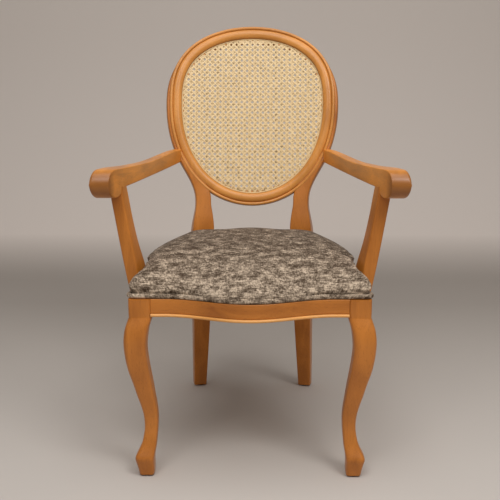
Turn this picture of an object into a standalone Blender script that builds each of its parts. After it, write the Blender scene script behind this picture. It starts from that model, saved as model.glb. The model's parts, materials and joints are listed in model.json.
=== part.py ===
"""A dining armchair: oval caned back, scroll arms, cabriole front legs and a domed upholstered seat.

Metres, +Z up, the sitter faces -Y. The origin is the middle of the box that holds the chair, on the floor.
"""

import math

import bmesh
import bpy
from mathutils import Matrix, Vector

# Clearances between pieces
FIT = 0.0003
HOLE_END = 0.001

# Back: its bow across the sitter, its slope, and the bottom of the ring on the middle line
BACK_BOW_RADIUS = 0.70
BACK_RAKE = math.radians(13.0)
BACK_Y = 0.190
BACK_Z = 0.526

# Back ring: an egg measured on its outer edge, and where its four segments meet
RING_HALF_WIDTH = 0.2110
RING_UPPER = 0.2045
RING_LOWER = 0.259
RING_UPPER_POWER = 2.55
RING_LOWER_POWER = 2.15
RING_THICK = 0.028
UPPER_JOINT = math.radians(30.0)
LOWER_JOINT = math.radians(-60.0)

# Ring moulding, from the outer edge inwards
BEAD_WIDTH = 0.0075
BEAD_RISE = 0.0032
BEAD_DEPTH = 0.0058
BAND_WIDTH = 0.0225
BAND_RISE = 0.0068
BAND_DEPTH = 0.0070
LEDGE_WIDTH = 0.013
LEDGE_DEPTH = 0.0100
SPLINE_GROOVE = 0.0047
SPLINE_DEPTH = 0.0040
SPLINE_PROUD = 0.0012
SPLINE_SHOULDER = 0.001
MOULDING_QUIRK = 0.0004

# Woven cane: its real mesh, drawn here with every second opening
CANE_PITCH = 0.0138
CANE_THICK = 0.0022
CANE_OPENING_SHARE = 0.56

# Rear legs: height, inner edge, outer edge and depth of the sawn leg
REAR_LEG_STATIONS = (
    (0.004, 0.1285, 0.1620, 0.030),
    (0.100, 0.1208, 0.1593, 0.035),
    (0.200, 0.1130, 0.1560, 0.040),
    (0.300, 0.1065, 0.1543, 0.045),
    (0.360, 0.1030, 0.1530, 0.046),
    (0.430, 0.0985, 0.1515, 0.046),
    (0.470, 0.0965, 0.1495, 0.042),
    (0.500, 0.0995, 0.1453, 0.035),
    (0.526, 0.1040, 0.1420, 0.030),
)
REAR_LEG_SLOPE = 0.312
REAR_BEND_TOP = 0.500
REAR_BEND_BOTTOM = 0.360
POST_SET_BACK = 0.004
POST_EDGE = 0.0035

# Where the post runs into the ring, as (across, along) of its two edges, and the strip beside the ring
POST_INTO_RING = (
    ((0.1065, 0.030), (0.1445, 0.030)),
    ((0.1250, 0.066), (0.1550, 0.060)),
)
STILE_STRIP_START = math.radians(-37.0)
STILE_STRIP_SHORT = math.radians(2.0)
STILE_STRIP = 0.0055
STILE_STRIP_SWELL = 0.15
STILE_STRIP_FADE = 0.55
STILE_STRIP_SINK = 1.12
STILE_STRIP_BACK = 0.010
STILE_BITE = 0.012
STILE_BACK_STEP = 0.0012

# Seat frame
RAIL_TOP = 0.3925
RAIL_HEIGHT = 0.0375
RAIL_THICK = 0.022
RAIL_HOUSING = 0.006
LEG_BLOCK = 0.045
FRONT_LEG_X = 0.2255
FRONT_LEG_Y = -0.245
SIDE_RAIL_REAR_X = 0.1575
SIDE_RAIL_REAR_Y = 0.172
REAR_RAIL_Y = 0.186
TENON_THICK = 0.009
TENON_HEIGHT = 0.028
TENON_LENGTH = 0.015
FRONT_RAIL_RECESS = 0.0035
FRONT_BULGE = 0.045
FRONT_BULGE_HALF = 0.175
RAIL_BEAD = 0.0035
BLOCK_HEIGHT = 0.024
BLOCK_BELOW_TOP = 0.008
BLOCK_LONG = 0.060
BLOCK_SHORT = 0.026

# Cabriole front legs: height, outward and forward shift of the middle, and width
CABRIOLE_DRAWN_LENGTH = 0.357
CABRIOLE_STATIONS = (
    (0.350, 0.0005, 0.0475),
    (0.330, 0.0068, 0.0478),
    (0.308, 0.0100, 0.0472),
    (0.286, 0.0104, 0.0455),
    (0.260, 0.0080, 0.0447),
    (0.235, 0.0041, 0.0430),
    (0.210, -0.0010, 0.0397),
    (0.180, -0.0065, 0.0362),
    (0.156, -0.0112, 0.0328),
    (0.130, -0.0148, 0.0297),
    (0.103, -0.0148, 0.0278),
    (0.080, -0.0120, 0.0295),
    (0.067, -0.0095, 0.0323),
    (0.055, -0.0056, 0.0360),
    (0.045, -0.0022, 0.0394),
    (0.038, -0.0017, 0.0394),
    (0.030, -0.0026, 0.0373),
    (0.016, -0.0042, 0.0341),
    (0.004, -0.0048, 0.0310),
)
CABRIOLE_ROUND = 0.30
BLOCK_ROUND = 0.10

# Arms: the plan of the inner face, then the side profile
ARM_INTO_STILE = 0.0036
ARM_SET_IN = 0.0054
ARM_POST_LIP = 0.0005
ARM_FLARE = 0.35
ARM_FLARE_START = -0.120
ARM_FRONT_WIDTH = 0.037
ARM_SWELL = 0.013
SCROLL_TAPER = 0.17
ARM_REAR_WIDTH = 0.024
ARM_REAR_TOP = 0.667
ARM_REAR_DEPTH = 0.032
ARM_LEVEL_DROP = 0.015
ARM_LEVEL_Y = -0.050
ARM_NOTCH_Y = -0.182
ARM_NOTCH_DROP = 0.0555
ROLL_Y = -0.2170
ROLL_DROP = 0.044
ROLL_HALF_LENGTH = 0.0345
ROLL_HALF_HEIGHT = 0.0293
ARM_INNER_EDGE = 0.003
ARM_OUTER_EDGE = 0.006
ARM_HOUSING = 0.002
ARM_SAG = 0.004
SCROLL_TURNS = (30, 45, 60, 75, 90, 104, 118, 132, 146, 158, 170)
ARM_LEVEL_TOP = ARM_REAR_TOP - ARM_LEVEL_DROP
ARM_NOTCH_Z = ARM_REAR_TOP - ARM_NOTCH_DROP
ROLL_Z = ARM_REAR_TOP - ROLL_DROP
STILE_UNDER_HEAD = 0.006

# Arm posts: height, step of the inner face out from the rail, shift along the rail, thickness and depth
ARM_POST_FOOT = 0.033
ARM_POST_INTO_ARM = 0.0055
ARM_POST_HOUSING = 0.015
ARM_POST_STATIONS = (
    (0.000, 0.0000, 0.001, 0.0280, 0.046),
    (0.116, 0.0060, 0.000, 0.0280, 0.044),
    (0.264, 0.0120, -0.003, 0.0285, 0.038),
    (0.463, 0.0205, -0.0045, 0.0280, 0.035),
    (0.694, 0.0295, -0.006, 0.0275, 0.034),
    (0.880, 0.0365, -0.0065, 0.0275, 0.034),
    (1.000, 0.0394, -0.009, 0.0285, 0.030),
)
ARM_POST_FOOT_THICK = 0.0175
ARM_POST_Y = -0.178
ARM_POST_EDGE = 0.0035

# Seat: a board on the rails, foam, a sewn cover and its piping
BOARD_THICK = 0.012
PIPING_RADIUS = 0.005
PIPING_INSET = -0.0060
FRONT_OVERHANG = 0.0
SEAT_REAR_Y = 0.158
REAR_BULGE = 0.036
REAR_BULGE_HALF = 0.120
SEAT_CORNER = 0.0145
COVER_THICK = 0.003
COVER_ROOM = 0.0060
SEAT_EDGE_HEIGHT = 0.0130
SEAT_EDGE_RISE = 0.0560
SEAT_EDGE_FRONT_Y = -0.275
SEAT_EDGE_REAR_Y = 0.100
SEAT_CROWN = 0.087
SEAT_SIDE_INSET = -0.003
SEAT_SIDE_SWELL = 0.006
SEAT_SWELL_FRONT_Y = -0.13
SEAT_SWELL_REAR_Y = 0.15
SEAT_DOME_STEPS = (0.975, 0.88, 0.70, 0.30)
SEAT_DOME_POWER = 2.8
SEAT_DOME_EASE = 0.70
SEAT_CROWN_Y = 0.030
SEAT_NOTCH_Y = -0.171
SEAT_NOTCH_HALF = 0.033
SEAT_NOTCH_SLOPE = 0.017
SEAT_NOTCH_DEPTH = 0.0228
SEAT_NOTCH_ROUND = 0.007
SEAT_NOTCH_FADE = 7

# Fasteners and feet
DOWEL_RADIUS = 0.004
DOWEL_LENGTH = 0.036
DOWEL_SPACING = 0.018
DOWEL_DEPTH = 0.0190
FLAT_SIDE_ROOM = 1.03
SCREW_RADIUS = 0.0021
SCREW_HEAD_RADIUS = 0.0042
SCREW_HEAD_HEIGHT = 0.0026
SCREW_TIP_SHARE = 0.4
BLOCK_SCREW_LENGTH = 0.032
SEAT_SCREW_LENGTH = 0.036
POST_SCREW_LENGTH = 0.021
POST_SCREW_SPACING = 0.018
ARM_SCREW_LENGTH = 0.060
PLUG_RADIUS = 0.0052
PLUG_LENGTH = 0.004
GLIDE_RADIUS = 0.0105
GLIDE_HEIGHT = 0.004
GLIDE_STEM_RADIUS = 0.0016
GLIDE_STEM_LENGTH = 0.012

SIDES = (("left", -1), ("right", 1))


def clear_scene():
    for old in list(bpy.data.objects):
        bpy.data.objects.remove(old, do_unlink=True)


def new_collection(name):
    collection = bpy.data.collections.new(name)
    bpy.context.scene.collection.children.link(collection)
    return collection


def finish(name, colour, roughness, metallic=0.0):
    """A plain material with one colour."""
    made = bpy.data.materials.new(name)
    made.use_nodes = True
    shader = made.node_tree.nodes["Principled BSDF"]
    shader.inputs["Base Color"].default_value = (*colour, 1.0)
    shader.inputs["Roughness"].default_value = roughness
    shader.inputs["Metallic"].default_value = metallic
    return made


clear_scene()
CHAIR = new_collection("dining_armchair")
CUTTERS = new_collection("cutters")
ROOT = bpy.data.objects.new("armchair_origin", None)
CHAIR.objects.link(ROOT)
BEECH = finish("beech", (0.55, 0.25, 0.075), 0.38)
CANE = finish("cane", (0.72, 0.53, 0.27), 0.55)
FABRIC = finish("fabric", (0.20, 0.17, 0.14), 0.9)
FOAM = finish("foam", (0.78, 0.70, 0.48), 0.9)
PLYWOOD = finish("plywood", (0.60, 0.45, 0.28), 0.7)
STEEL = finish("steel", (0.55, 0.55, 0.55), 0.35, 1.0)
NYLON = finish("nylon", (0.03, 0.028, 0.026), 0.5)


def add_object(name, bm, material=None):
    """Turns a bmesh into a piece, or into a hidden cutter when it has no material."""
    bmesh.ops.recalc_face_normals(bm, faces=bm.faces)
    mesh = bpy.data.meshes.new(name)
    bm.to_mesh(mesh)
    bm.free()
    made = bpy.data.objects.new(name, mesh)
    made.parent = ROOT
    if material is None:
        CUTTERS.objects.link(made)
        made.hide_render = True
        made.display_type = "WIRE"
        return made
    CHAIR.objects.link(made)
    mesh.materials.append(material)
    mesh.shade_smooth()
    mesh.set_sharp_from_angle(angle=math.radians(35))
    return made


def loft_mesh(rings, cyclic=False):
    """Faces between rings of points, closed at the ends, or on themselves when cyclic."""
    bm = bmesh.new()
    loops = [[bm.verts.new(point) for point in ring] for ring in rings]
    count = len(loops[0])
    pairs = list(zip(loops, loops[1:]))
    if cyclic:
        pairs.append((loops[-1], loops[0]))
    for low, high in pairs:
        for i in range(count):
            j = (i + 1) % count
            bm.faces.new((low[i], low[j], high[j], high[i]))
    if not cyclic:
        bm.faces.new(loops[0])
        bm.faces.new(loops[-1])
    return bm


def loft(name, rings, material=None, cyclic=False):
    return add_object(name, loft_mesh(rings, cyclic), material)


def boolean(target, other, operation="DIFFERENCE"):
    modifier = target.modifiers.new(f"{operation.lower()} {other.name}", "BOOLEAN")
    modifier.operation = operation
    modifier.object = other


def frame_at(origin, direction):
    """A matrix whose Z axis runs along direction."""
    turn = Vector(direction).normalized().to_track_quat("Z", "Y").to_matrix().to_4x4()
    return Matrix.Translation(origin) @ turn


def rod(name, origin, direction, radius, length, material=None, sides=12):
    """A round rod from origin along direction."""
    bm = bmesh.new()
    bmesh.ops.create_cone(
        bm, cap_ends=True, segments=sides, radius1=radius, radius2=radius, depth=length,
        matrix=Matrix.Translation((0, 0, length / 2)),
    )
    bmesh.ops.transform(bm, matrix=frame_at(origin, direction), verts=bm.verts)
    return add_object(name, bm, material)


def bar(name, start, end, across, width, height, material=None):
    """A straight square-edged bar from start to end, with its width along across and its height upright."""
    side = Vector(across).normalized() * (width / 2)
    up = Vector((0, 0, height / 2))
    corners = (-side - up, side - up, side + up, -side + up)
    return loft(name, [[Vector(at) + corner for corner in corners] for at in (start, end)], material)


def turned(name, profile, origin, direction, material=None, steps=8):
    """A turned piece: profile is (radius, height) from its top down."""
    mesh = bpy.data.meshes.new(name)
    points = [(radius, 0.0, height) for radius, height in profile]
    edges = [(i, i + 1) for i in range(len(points) - 1)]
    mesh.from_pydata(points, edges, [])
    made = bpy.data.objects.new(name, mesh)
    screw = made.modifiers.new("turn", "SCREW")
    screw.steps = steps
    screw.render_steps = steps
    screw.use_merge_vertices = True
    screw.merge_threshold = 0.00001
    made.parent = ROOT
    made.matrix_local = frame_at(origin, direction)
    if material is None:
        CUTTERS.objects.link(made)
        made.hide_render = True
        made.display_type = "WIRE"
    else:
        CHAIR.objects.link(made)
        mesh.materials.append(material)
    return made


def drive_screw(name, seat, direction, length, targets, reach=0.0):
    """A screw with the underside of its head at seat, and its holes. Reach deepens the hole for the head."""
    turned(
        name,
        (
            (0.0, length),
            (SCREW_RADIUS * SCREW_TIP_SHARE, length),
            (SCREW_RADIUS, length - 2 * SCREW_RADIUS),
            (SCREW_RADIUS, 0.0),
            (SCREW_HEAD_RADIUS, 0.0),
            (SCREW_HEAD_RADIUS, -SCREW_HEAD_HEIGHT),
            (0.0, -SCREW_HEAD_HEIGHT),
        ),
        seat, direction, STEEL,
    )
    back = SCREW_HEAD_HEIGHT + FIT + reach
    hole = turned(
        f"{name}_hole",
        (
            (0.0, length + HOLE_END),
            (SCREW_RADIUS + FIT, length + HOLE_END),
            (SCREW_RADIUS + FIT, FIT),
            (SCREW_HEAD_RADIUS + FIT, FIT),
            (SCREW_HEAD_RADIUS + FIT, -back),
            (0.0, -back),
        ),
        seat, direction,
    )
    for target in targets:
        boolean(target, hole)


def smooth_step(value):
    value = min(max(value, 0.0), 1.0)
    return value * value * (3 - 2 * value)


def between(stations, height):
    """The values of a table of stations at a height, drawn with straight runs."""
    rows = sorted(stations)
    for low, high in zip(rows, rows[1:]):
        if height <= high[0]:
            break
    share = (height - low[0]) / (high[0] - low[0])
    return [a + (b - a) * share for a, b in zip(low[1:], high[1:])]


def spine_y(height):
    """Where the middle of the back's face lies at a height: raked above the seat, kicked back below it."""
    rake = math.tan(BACK_RAKE)
    if height >= REAR_BEND_TOP:
        return BACK_Y + (height - BACK_Z) * rake
    top_y = BACK_Y + (REAR_BEND_TOP - BACK_Z) * rake
    run = REAR_BEND_TOP - REAR_BEND_BOTTOM
    drop = min(REAR_BEND_TOP - height, run)
    bend_y = top_y - rake * drop + (rake + REAR_LEG_SLOPE) * drop * drop / (2 * run)
    return bend_y + REAR_LEG_SLOPE * max(REAR_BEND_BOTTOM - height, 0.0)


def back_point(across, along, forward):
    """A point of the bowed back: across it, up its slope from the ring, and in front of its face."""
    angle = across / BACK_BOW_RADIUS
    out = BACK_BOW_RADIUS - (BACK_BOW_RADIUS - forward) * math.cos(angle)
    height = BACK_Z + along * math.cos(BACK_RAKE)
    share = smooth_step((height - REAR_BEND_BOTTOM) / (BACK_Z - REAR_BEND_BOTTOM))
    tilt = BACK_RAKE * share
    return Vector((
        (BACK_BOW_RADIUS - forward) * math.sin(angle),
        spine_y(height) - out * math.cos(tilt),
        height + out * math.sin(tilt) * share,
    ))


def leg_along(height):
    """The distance up the slope of a height."""
    return (height - BACK_Z) / math.cos(BACK_RAKE)


def ring_edge(angle):
    """(across, along) on the ring's outer edge, from the right side round over the top."""
    upper = math.sin(angle) >= 0
    power = 2 / (RING_UPPER_POWER if upper else RING_LOWER_POWER)
    reach = RING_UPPER if upper else RING_LOWER
    across = math.cos(angle) * RING_HALF_WIDTH
    rise = math.copysign(abs(math.sin(angle)) ** power, math.sin(angle)) * reach
    return Vector((across, RING_LOWER + rise))


def ring_inward(angle):
    """The direction from the ring's outer edge towards its opening."""
    step = 0.002
    along = ring_edge(angle + step) - ring_edge(angle - step)
    return Vector((-along.y, along.x)).normalized()


def ring_point(angle, inward, forward):
    place = ring_edge(angle) + ring_inward(angle) * inward
    return back_point(place.x, place.y, forward)


def arc_between(start, end, depth, rise, count):
    """Points of a round moulding between two widths."""
    points = []
    for i in range(count):
        turn = math.pi * i / (count - 1)
        width = (start + end) / 2 - (end - start) / 2 * math.cos(turn)
        points.append((width, -depth + rise * math.sin(turn)))
    return points


RING_WIDTH = BEAD_WIDTH + BAND_WIDTH
LEDGE_END = RING_WIDTH + LEDGE_WIDTH


def ring_section():
    """(inward, forward) round the section of the ring: bead, band, spline groove and cane ledge."""
    groove = -LEDGE_DEPTH - SPLINE_DEPTH
    return (
        [(0.0, -RING_THICK)]
        + arc_between(0.0, BEAD_WIDTH, BEAD_DEPTH, BEAD_RISE, 5)
        + arc_between(BEAD_WIDTH + MOULDING_QUIRK, RING_WIDTH, BAND_DEPTH, BAND_RISE, 8)
        + [
            (RING_WIDTH, groove),
            (RING_WIDTH + SPLINE_GROOVE, groove),
            (RING_WIDTH + SPLINE_GROOVE, -LEDGE_DEPTH),
            (LEDGE_END, -LEDGE_DEPTH),
            (LEDGE_END, -RING_THICK),
        ]
    )


def ring_segment(name, start, end, steps, material=None):
    """A run of the ring from one joint to the next, short of each joint by half a fit."""
    trim = FIT / 2 / RING_HALF_WIDTH
    first, last = start + trim, end - trim
    section = ring_section()
    rings = []
    for i in range(steps + 1):
        angle = first + (last - first) * i / steps
        rings.append([ring_point(angle, inward, forward) for inward, forward in section])
    return loft(name, rings, material)


def edged_section(inner, outer, back, front, edge):
    """A rectangle with its corners taken off, as (across, forward)."""
    return (
        (inner, front - edge), (inner + edge, front), (outer - edge, front), (outer, front - edge),
        (outer, back + edge), (outer - edge, back), (inner + edge, back), (inner, back + edge),
    )


def mirrored(points, side):
    return [Vector((point.x * side, point.y, point.z)) for point in points]


def stile_rings(side):
    """Sections of a rear leg from the floor, up its post and along the outside of the ring."""
    rings = []
    for height, inner, outer, depth in REAR_LEG_STATIONS:
        section = edged_section(inner, outer, -POST_SET_BACK - depth, -POST_SET_BACK, POST_EDGE)
        rings.append([back_point(across, leg_along(height), forward) for across, forward in section])
    back = -RING_THICK + STILE_BACK_STEP
    for inner, outer in POST_INTO_RING:
        start, run = Vector(inner), Vector(outer) - Vector(inner)
        ring = []
        for reach, forward in edged_section(0.0, run.length, back, -POST_SET_BACK, POST_EDGE):
            place = start + run.normalized() * reach
            ring.append(back_point(place.x, place.y, forward))
        rings.append(ring)
    steps = 12
    last = UPPER_JOINT - STILE_STRIP_SHORT
    for i in range(steps + 1):
        share = i / steps
        angle = STILE_STRIP_START + (last - STILE_STRIP_START) * share
        swell = 1 + STILE_STRIP_SWELL * (1 - smooth_step(share * 4))
        sink = STILE_STRIP_SINK * smooth_step((share - STILE_STRIP_FADE) / (1 - STILE_STRIP_FADE))
        strip = STILE_STRIP * swell * (1 - sink)
        front = -POST_SET_BACK - (STILE_STRIP_BACK - POST_SET_BACK) * smooth_step(share * 3)
        section = edged_section(-STILE_BITE, strip, back, front, POST_EDGE)
        rings.append([ring_point(angle, -outward, forward) for outward, forward in section])
    return [mirrored(ring, side) for ring in rings]


def build_back():
    """The four segments of the ring, the cane, its spline and the dowels in the joints."""
    legs = {}
    for name, side in SIDES:
        leg = loft(f"rear_leg_{name}", stile_rings(side), BEECH)
        if side > 0:
            run = (LOWER_JOINT, UPPER_JOINT)
        else:
            run = (math.pi - UPPER_JOINT, math.pi - LOWER_JOINT)
        boolean(leg, ring_segment(f"ring_side_{name}", *run, 16), "UNION")
        legs[name] = leg
    crest = ring_segment("crest_rail", UPPER_JOINT, math.pi - UPPER_JOINT, 20, BEECH)
    lower = ring_segment("lower_back_rail", -math.pi - LOWER_JOINT, LOWER_JOINT, 14, BEECH)
    joints = (
        ("upper", UPPER_JOINT, "right", crest),
        ("upper", math.pi - UPPER_JOINT, "left", crest),
        ("lower", LOWER_JOINT, "right", lower),
        ("lower", math.pi - LOWER_JOINT, "left", lower),
    )
    for level, angle, name, rail in joints:
        for number, place in enumerate((-0.5, 0.5), 1):
            inward = RING_WIDTH / 2 + LEDGE_WIDTH / 2 + place * DOWEL_SPACING
            middle = ring_point(angle, inward, -DOWEL_DEPTH)
            step = 0.01
            after, before = (ring_point(turn, inward, -DOWEL_DEPTH) for turn in (angle + step, angle - step))
            direction = (after - before).normalized()
            label = f"ring_dowel_{level}_{name}_{number}"
            start = middle - direction * DOWEL_LENGTH / 2
            rod(label, start, direction, DOWEL_RADIUS, DOWEL_LENGTH, BEECH, 8)
            room = DOWEL_LENGTH + 2 * HOLE_END
            start = middle - direction * room / 2
            radius = (DOWEL_RADIUS + FIT) * FLAT_SIDE_ROOM
            hole = rod(f"{label}_hole", start, direction, radius, room, None, 8)
            boolean(legs[name], hole)
            boolean(rail, hole)
    build_cane()
    return legs


def build_cane():
    """The cane: a bowed net with openings, on the ledge inside the spline."""
    edge = RING_WIDTH + SPLINE_GROOVE + FIT
    low = -LEDGE_DEPTH + FIT
    pitch = 2 * CANE_PITCH
    columns = math.ceil(RING_HALF_WIDTH / pitch)
    middle = (RING_LOWER + RING_UPPER) / 2
    rows = math.ceil((RING_LOWER + RING_UPPER) / 2 / pitch)
    turns = 72
    angles = [math.tau * (i + 0.5) / turns for i in range(turns)]
    outline = [ring_edge(angle) + ring_inward(angle) * edge for angle in angles]

    def inside(point, margin):
        centre = Vector((0.0, RING_LOWER))
        ray = point - centre
        angle = math.atan2(ray.y / (RING_UPPER if ray.y > 0 else RING_LOWER), ray.x / RING_HALF_WIDTH)
        rim = ring_edge(angle) + ring_inward(angle) * (edge + margin)
        return ray.length < (rim - centre).length

    bm = bmesh.new()
    grid = {}
    for column in range(-columns, columns + 1):
        for row in range(-rows, rows + 1):
            grid[column, row] = bm.verts.new((column * pitch, middle + row * pitch, 0.0))
    open_cells = []
    for column in range(-columns, columns):
        for row in range(-rows, rows):
            keys = ((column, row), (column + 1, row), (column + 1, row + 1), (column, row + 1))
            face = bm.faces.new([grid[key] for key in keys])
            if all(inside(corner.co.xy, LEDGE_WIDTH / 4) for corner in face.verts):
                open_cells.append(face)
    bm.normal_update()
    bmesh.ops.inset_individual(bm, faces=open_cells, thickness=pitch * (1 - CANE_OPENING_SHARE) / 2)
    bmesh.ops.delete(bm, geom=open_cells, context="FACES")
    raised = bmesh.ops.extrude_face_region(bm, geom=bm.faces[:], use_keep_orig=True)["geom"]
    for vert in raised:
        if isinstance(vert, bmesh.types.BMVert):
            vert.co.z = CANE_THICK
    for vert in bm.verts:
        vert.co = back_point(vert.co.x, vert.co.y, low + vert.co.z)
    panel = add_object("cane_panel", bm, CANE)
    reach = RING_HALF_WIDTH / 3
    prism = [[back_point(p.x, p.y, low + lift) for p in outline] for lift in (-reach, reach)]
    trim = loft_mesh(prism)
    bmesh.ops.poke(trim, faces=[face for face in trim.faces if len(face.verts) > 4])
    boolean(panel, add_object("cane_outline", trim), "INTERSECT")
    spline = []
    inner, outer = RING_WIDTH + FIT, RING_WIDTH + SPLINE_GROOVE - FIT
    bottom = -LEDGE_DEPTH - SPLINE_DEPTH + FIT
    crown = -LEDGE_DEPTH + SPLINE_PROUD
    shoulder = crown - SPLINE_SHOULDER
    section = (
        (inner, bottom),
        (inner, shoulder),
        ((inner + outer) / 2, crown),
        (outer, shoulder),
        (outer, bottom),
    )
    for angle in angles:
        spline.append([ring_point(angle, inward, forward) for inward, forward in section])
    loft("cane_spline", spline, CANE, cyclic=True)


RAIL_MIDDLE = RAIL_TOP - RAIL_HEIGHT / 2
BLOCK_FACE_Y = FRONT_LEG_Y + LEG_BLOCK / 2
BLOCK_FACE_X = FRONT_LEG_X - LEG_BLOCK / 2
FRONT_RAIL_Y = FRONT_LEG_Y - LEG_BLOCK / 2 + FRONT_RAIL_RECESS
SIDE_RAIL_FRONT = Vector((FRONT_LEG_X + LEG_BLOCK / 2, BLOCK_FACE_Y, RAIL_MIDDLE))
SIDE_RAIL_REAR = Vector((SIDE_RAIL_REAR_X, SIDE_RAIL_REAR_Y, RAIL_MIDDLE))
SIDE_RAIL_RUN = (SIDE_RAIL_REAR - SIDE_RAIL_FRONT).normalized()
SIDE_RAIL_OUT = Vector((SIDE_RAIL_RUN.y, -SIDE_RAIL_RUN.x, 0.0))


def turned_to(vector, side):
    """The same vector on the other side of the chair when side is negative."""
    return Vector((vector.x * side, vector.y, vector.z))


def side_rail_point(y, outward, height=RAIL_MIDDLE):
    """A point at a depth on the right side rail, stepped outward from its outer face."""
    share = (y - SIDE_RAIL_FRONT.y) / (SIDE_RAIL_REAR.y - SIDE_RAIL_FRONT.y)
    on_face = SIDE_RAIL_FRONT.lerp(SIDE_RAIL_REAR, share)
    on_face.z = height
    return on_face + SIDE_RAIL_OUT * outward


def inside_side_rail(y):
    """The point just inside the right side rail at a depth."""
    face = side_rail_point(y, 0.0)
    return Vector((face.x - (RAIL_THICK + FIT) / SIDE_RAIL_OUT.x, y))


def front_bulge(x):
    """How far the serpentine front stands forward at a place across the chair."""
    if abs(x) >= FRONT_BULGE_HALF:
        return 0.0
    return FRONT_BULGE * (1 + math.cos(math.pi * x / FRONT_BULGE_HALF)) / 2


def rear_bulge(x):
    """How far the seat stands back between the rear posts, to rest on the rear rail."""
    if abs(x) >= REAR_BULGE_HALF:
        return 0.0
    return REAR_BULGE * (1 + math.cos(math.pi * x / REAR_BULGE_HALF)) / 2


def front_rail_rings():
    """Sections of the serpentine front rail, with a round bead along its lower edge."""
    low, high = RAIL_TOP - RAIL_HEIGHT, RAIL_TOP
    bead = []
    for i in range(5):
        turn = math.pi * (0.5 - i / 4)
        bead.append((-RAIL_BEAD * math.cos(turn), low + RAIL_BEAD + RAIL_BEAD * math.sin(turn)))
    section = [(RAIL_THICK, low), (RAIL_THICK, high), (0.0, high)] + bead
    half = BLOCK_FACE_X - FIT
    steps = 26
    rings = []
    for i in range(steps + 1):
        x = -half + 2 * half * i / steps
        y = FRONT_RAIL_Y - front_bulge(x)
        rings.append([Vector((x, y + depth, height)) for depth, height in section])
    return rings


def tenon(label, rail, legs, start, direction, across):
    """A tenon on a rail's end, and its mortise in the leg."""
    root = start - direction * RAIL_THICK / 2
    tip = start + direction * TENON_LENGTH
    boolean(rail, bar(f"{label}_tenon", root, tip, across, TENON_THICK, TENON_HEIGHT), "UNION")
    end = tip + direction * HOLE_END
    width, height = TENON_THICK + 2 * FIT, TENON_HEIGHT + 2 * FIT
    mortise = bar(f"{label}_mortise", root, end, across, width, height)
    for leg in legs:
        boolean(leg, mortise)


def cabriole_rings(side):
    """Rounded square sections of a front leg from its block down to the pad foot."""
    block_foot = RAIL_TOP - RAIL_HEIGHT
    block = ((RAIL_TOP, 0.0, LEG_BLOCK), (block_foot, 0.0, LEG_BLOCK))
    rings = []
    stretch = block_foot / CABRIOLE_DRAWN_LENGTH
    below = tuple((height * stretch, shift, width) for height, shift, width in CABRIOLE_STATIONS[:-1])
    for height, shift, width in block + below + CABRIOLE_STATIONS[-1:]:
        corner = width * (BLOCK_ROUND if height >= block_foot else CABRIOLE_ROUND)
        rise = width / 2
        ring = []
        for quarter in range(4):
            for step in range(3):
                turn = math.pi / 2 * (quarter + step / 2)
                middle_turn = math.pi / 2 * quarter + math.pi / 4
                sign_x = math.copysign(1.0, math.cos(middle_turn))
                sign_y = math.copysign(1.0, math.sin(middle_turn))
                x = sign_x * (rise - corner) + corner * math.cos(turn)
                y = sign_y * (rise - corner) + corner * math.sin(turn)
                ring.append(Vector((side * (FRONT_LEG_X + shift + x), FRONT_LEG_Y - shift + y, height)))
        rings.append(ring)
    return rings


def build_seat_frame(rear_legs):
    """Front legs and the four rails, tenoned into the legs."""
    front_legs = {name: loft(f"front_leg_{name}", cabriole_rings(side), BEECH) for name, side in SIDES}
    front_rail = loft("front_seat_rail", front_rail_rings(), BEECH)
    side_rails = {}
    start = side_rail_point(BLOCK_FACE_Y + FIT, -RAIL_THICK / 2)
    end = start + SIDE_RAIL_RUN * ((SIDE_RAIL_REAR_Y + RAIL_HOUSING - start.y) / SIDE_RAIL_RUN.y)
    for name, side in SIDES:
        out = turned_to(SIDE_RAIL_OUT, side)
        run = turned_to(SIDE_RAIL_RUN, side)
        first, last = turned_to(start, side), turned_to(end, side)
        rail = side_rail_bar(f"side_seat_rail_{name}", side, 0.0, BEECH)
        housing = side_rail_bar(f"side_rail_housing_{name}", side, FIT)
        boolean(rear_legs[name], housing)
        ahead = Vector((0.0, -1.0, 0.0))
        tenon(f"side_front_{name}", rail, [front_legs[name]], first, ahead, (1, 0, 0))
        tenon(f"side_rear_{name}", rail, [rear_legs[name]], last, run, out)
        inward = Vector((BLOCK_FACE_X * side, FRONT_RAIL_Y + RAIL_THICK / 2, RAIL_MIDDLE))
        tenon(f"front_{name}", front_rail, [front_legs[name]], inward, Vector((side, 0, 0)), (0, 1, 0))
        side_rails[name] = rail
    rear_rail = build_rear_rail(rear_legs)
    return front_legs, front_rail, side_rails, rear_rail


def side_rail_bar(label, side, grow, material=None):
    """The straight run of a side rail, cut square to the chair in front and let into the rear leg."""
    rings = []
    for y in (BLOCK_FACE_Y + FIT, SIDE_RAIL_REAR_Y + RAIL_HOUSING + grow):
        ring = []
        for outward, height in (
            (grow, RAIL_TOP - RAIL_HEIGHT - grow), (grow, RAIL_TOP + grow),
            (-RAIL_THICK - grow, RAIL_TOP + grow), (-RAIL_THICK - grow, RAIL_TOP - RAIL_HEIGHT - grow),
        ):
            at = side_rail_point(y, 0.0, height)
            at.x += outward / SIDE_RAIL_OUT.x
            ring.append(turned_to(at, side))
        rings.append(ring)
    return loft(label, rings, material)


def rear_rail_half():
    """Half the length of the rear rail between the housings in the legs."""
    inner = between(REAR_LEG_STATIONS, RAIL_TOP - RAIL_HEIGHT)[0]
    return inner + RAIL_HOUSING


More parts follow.
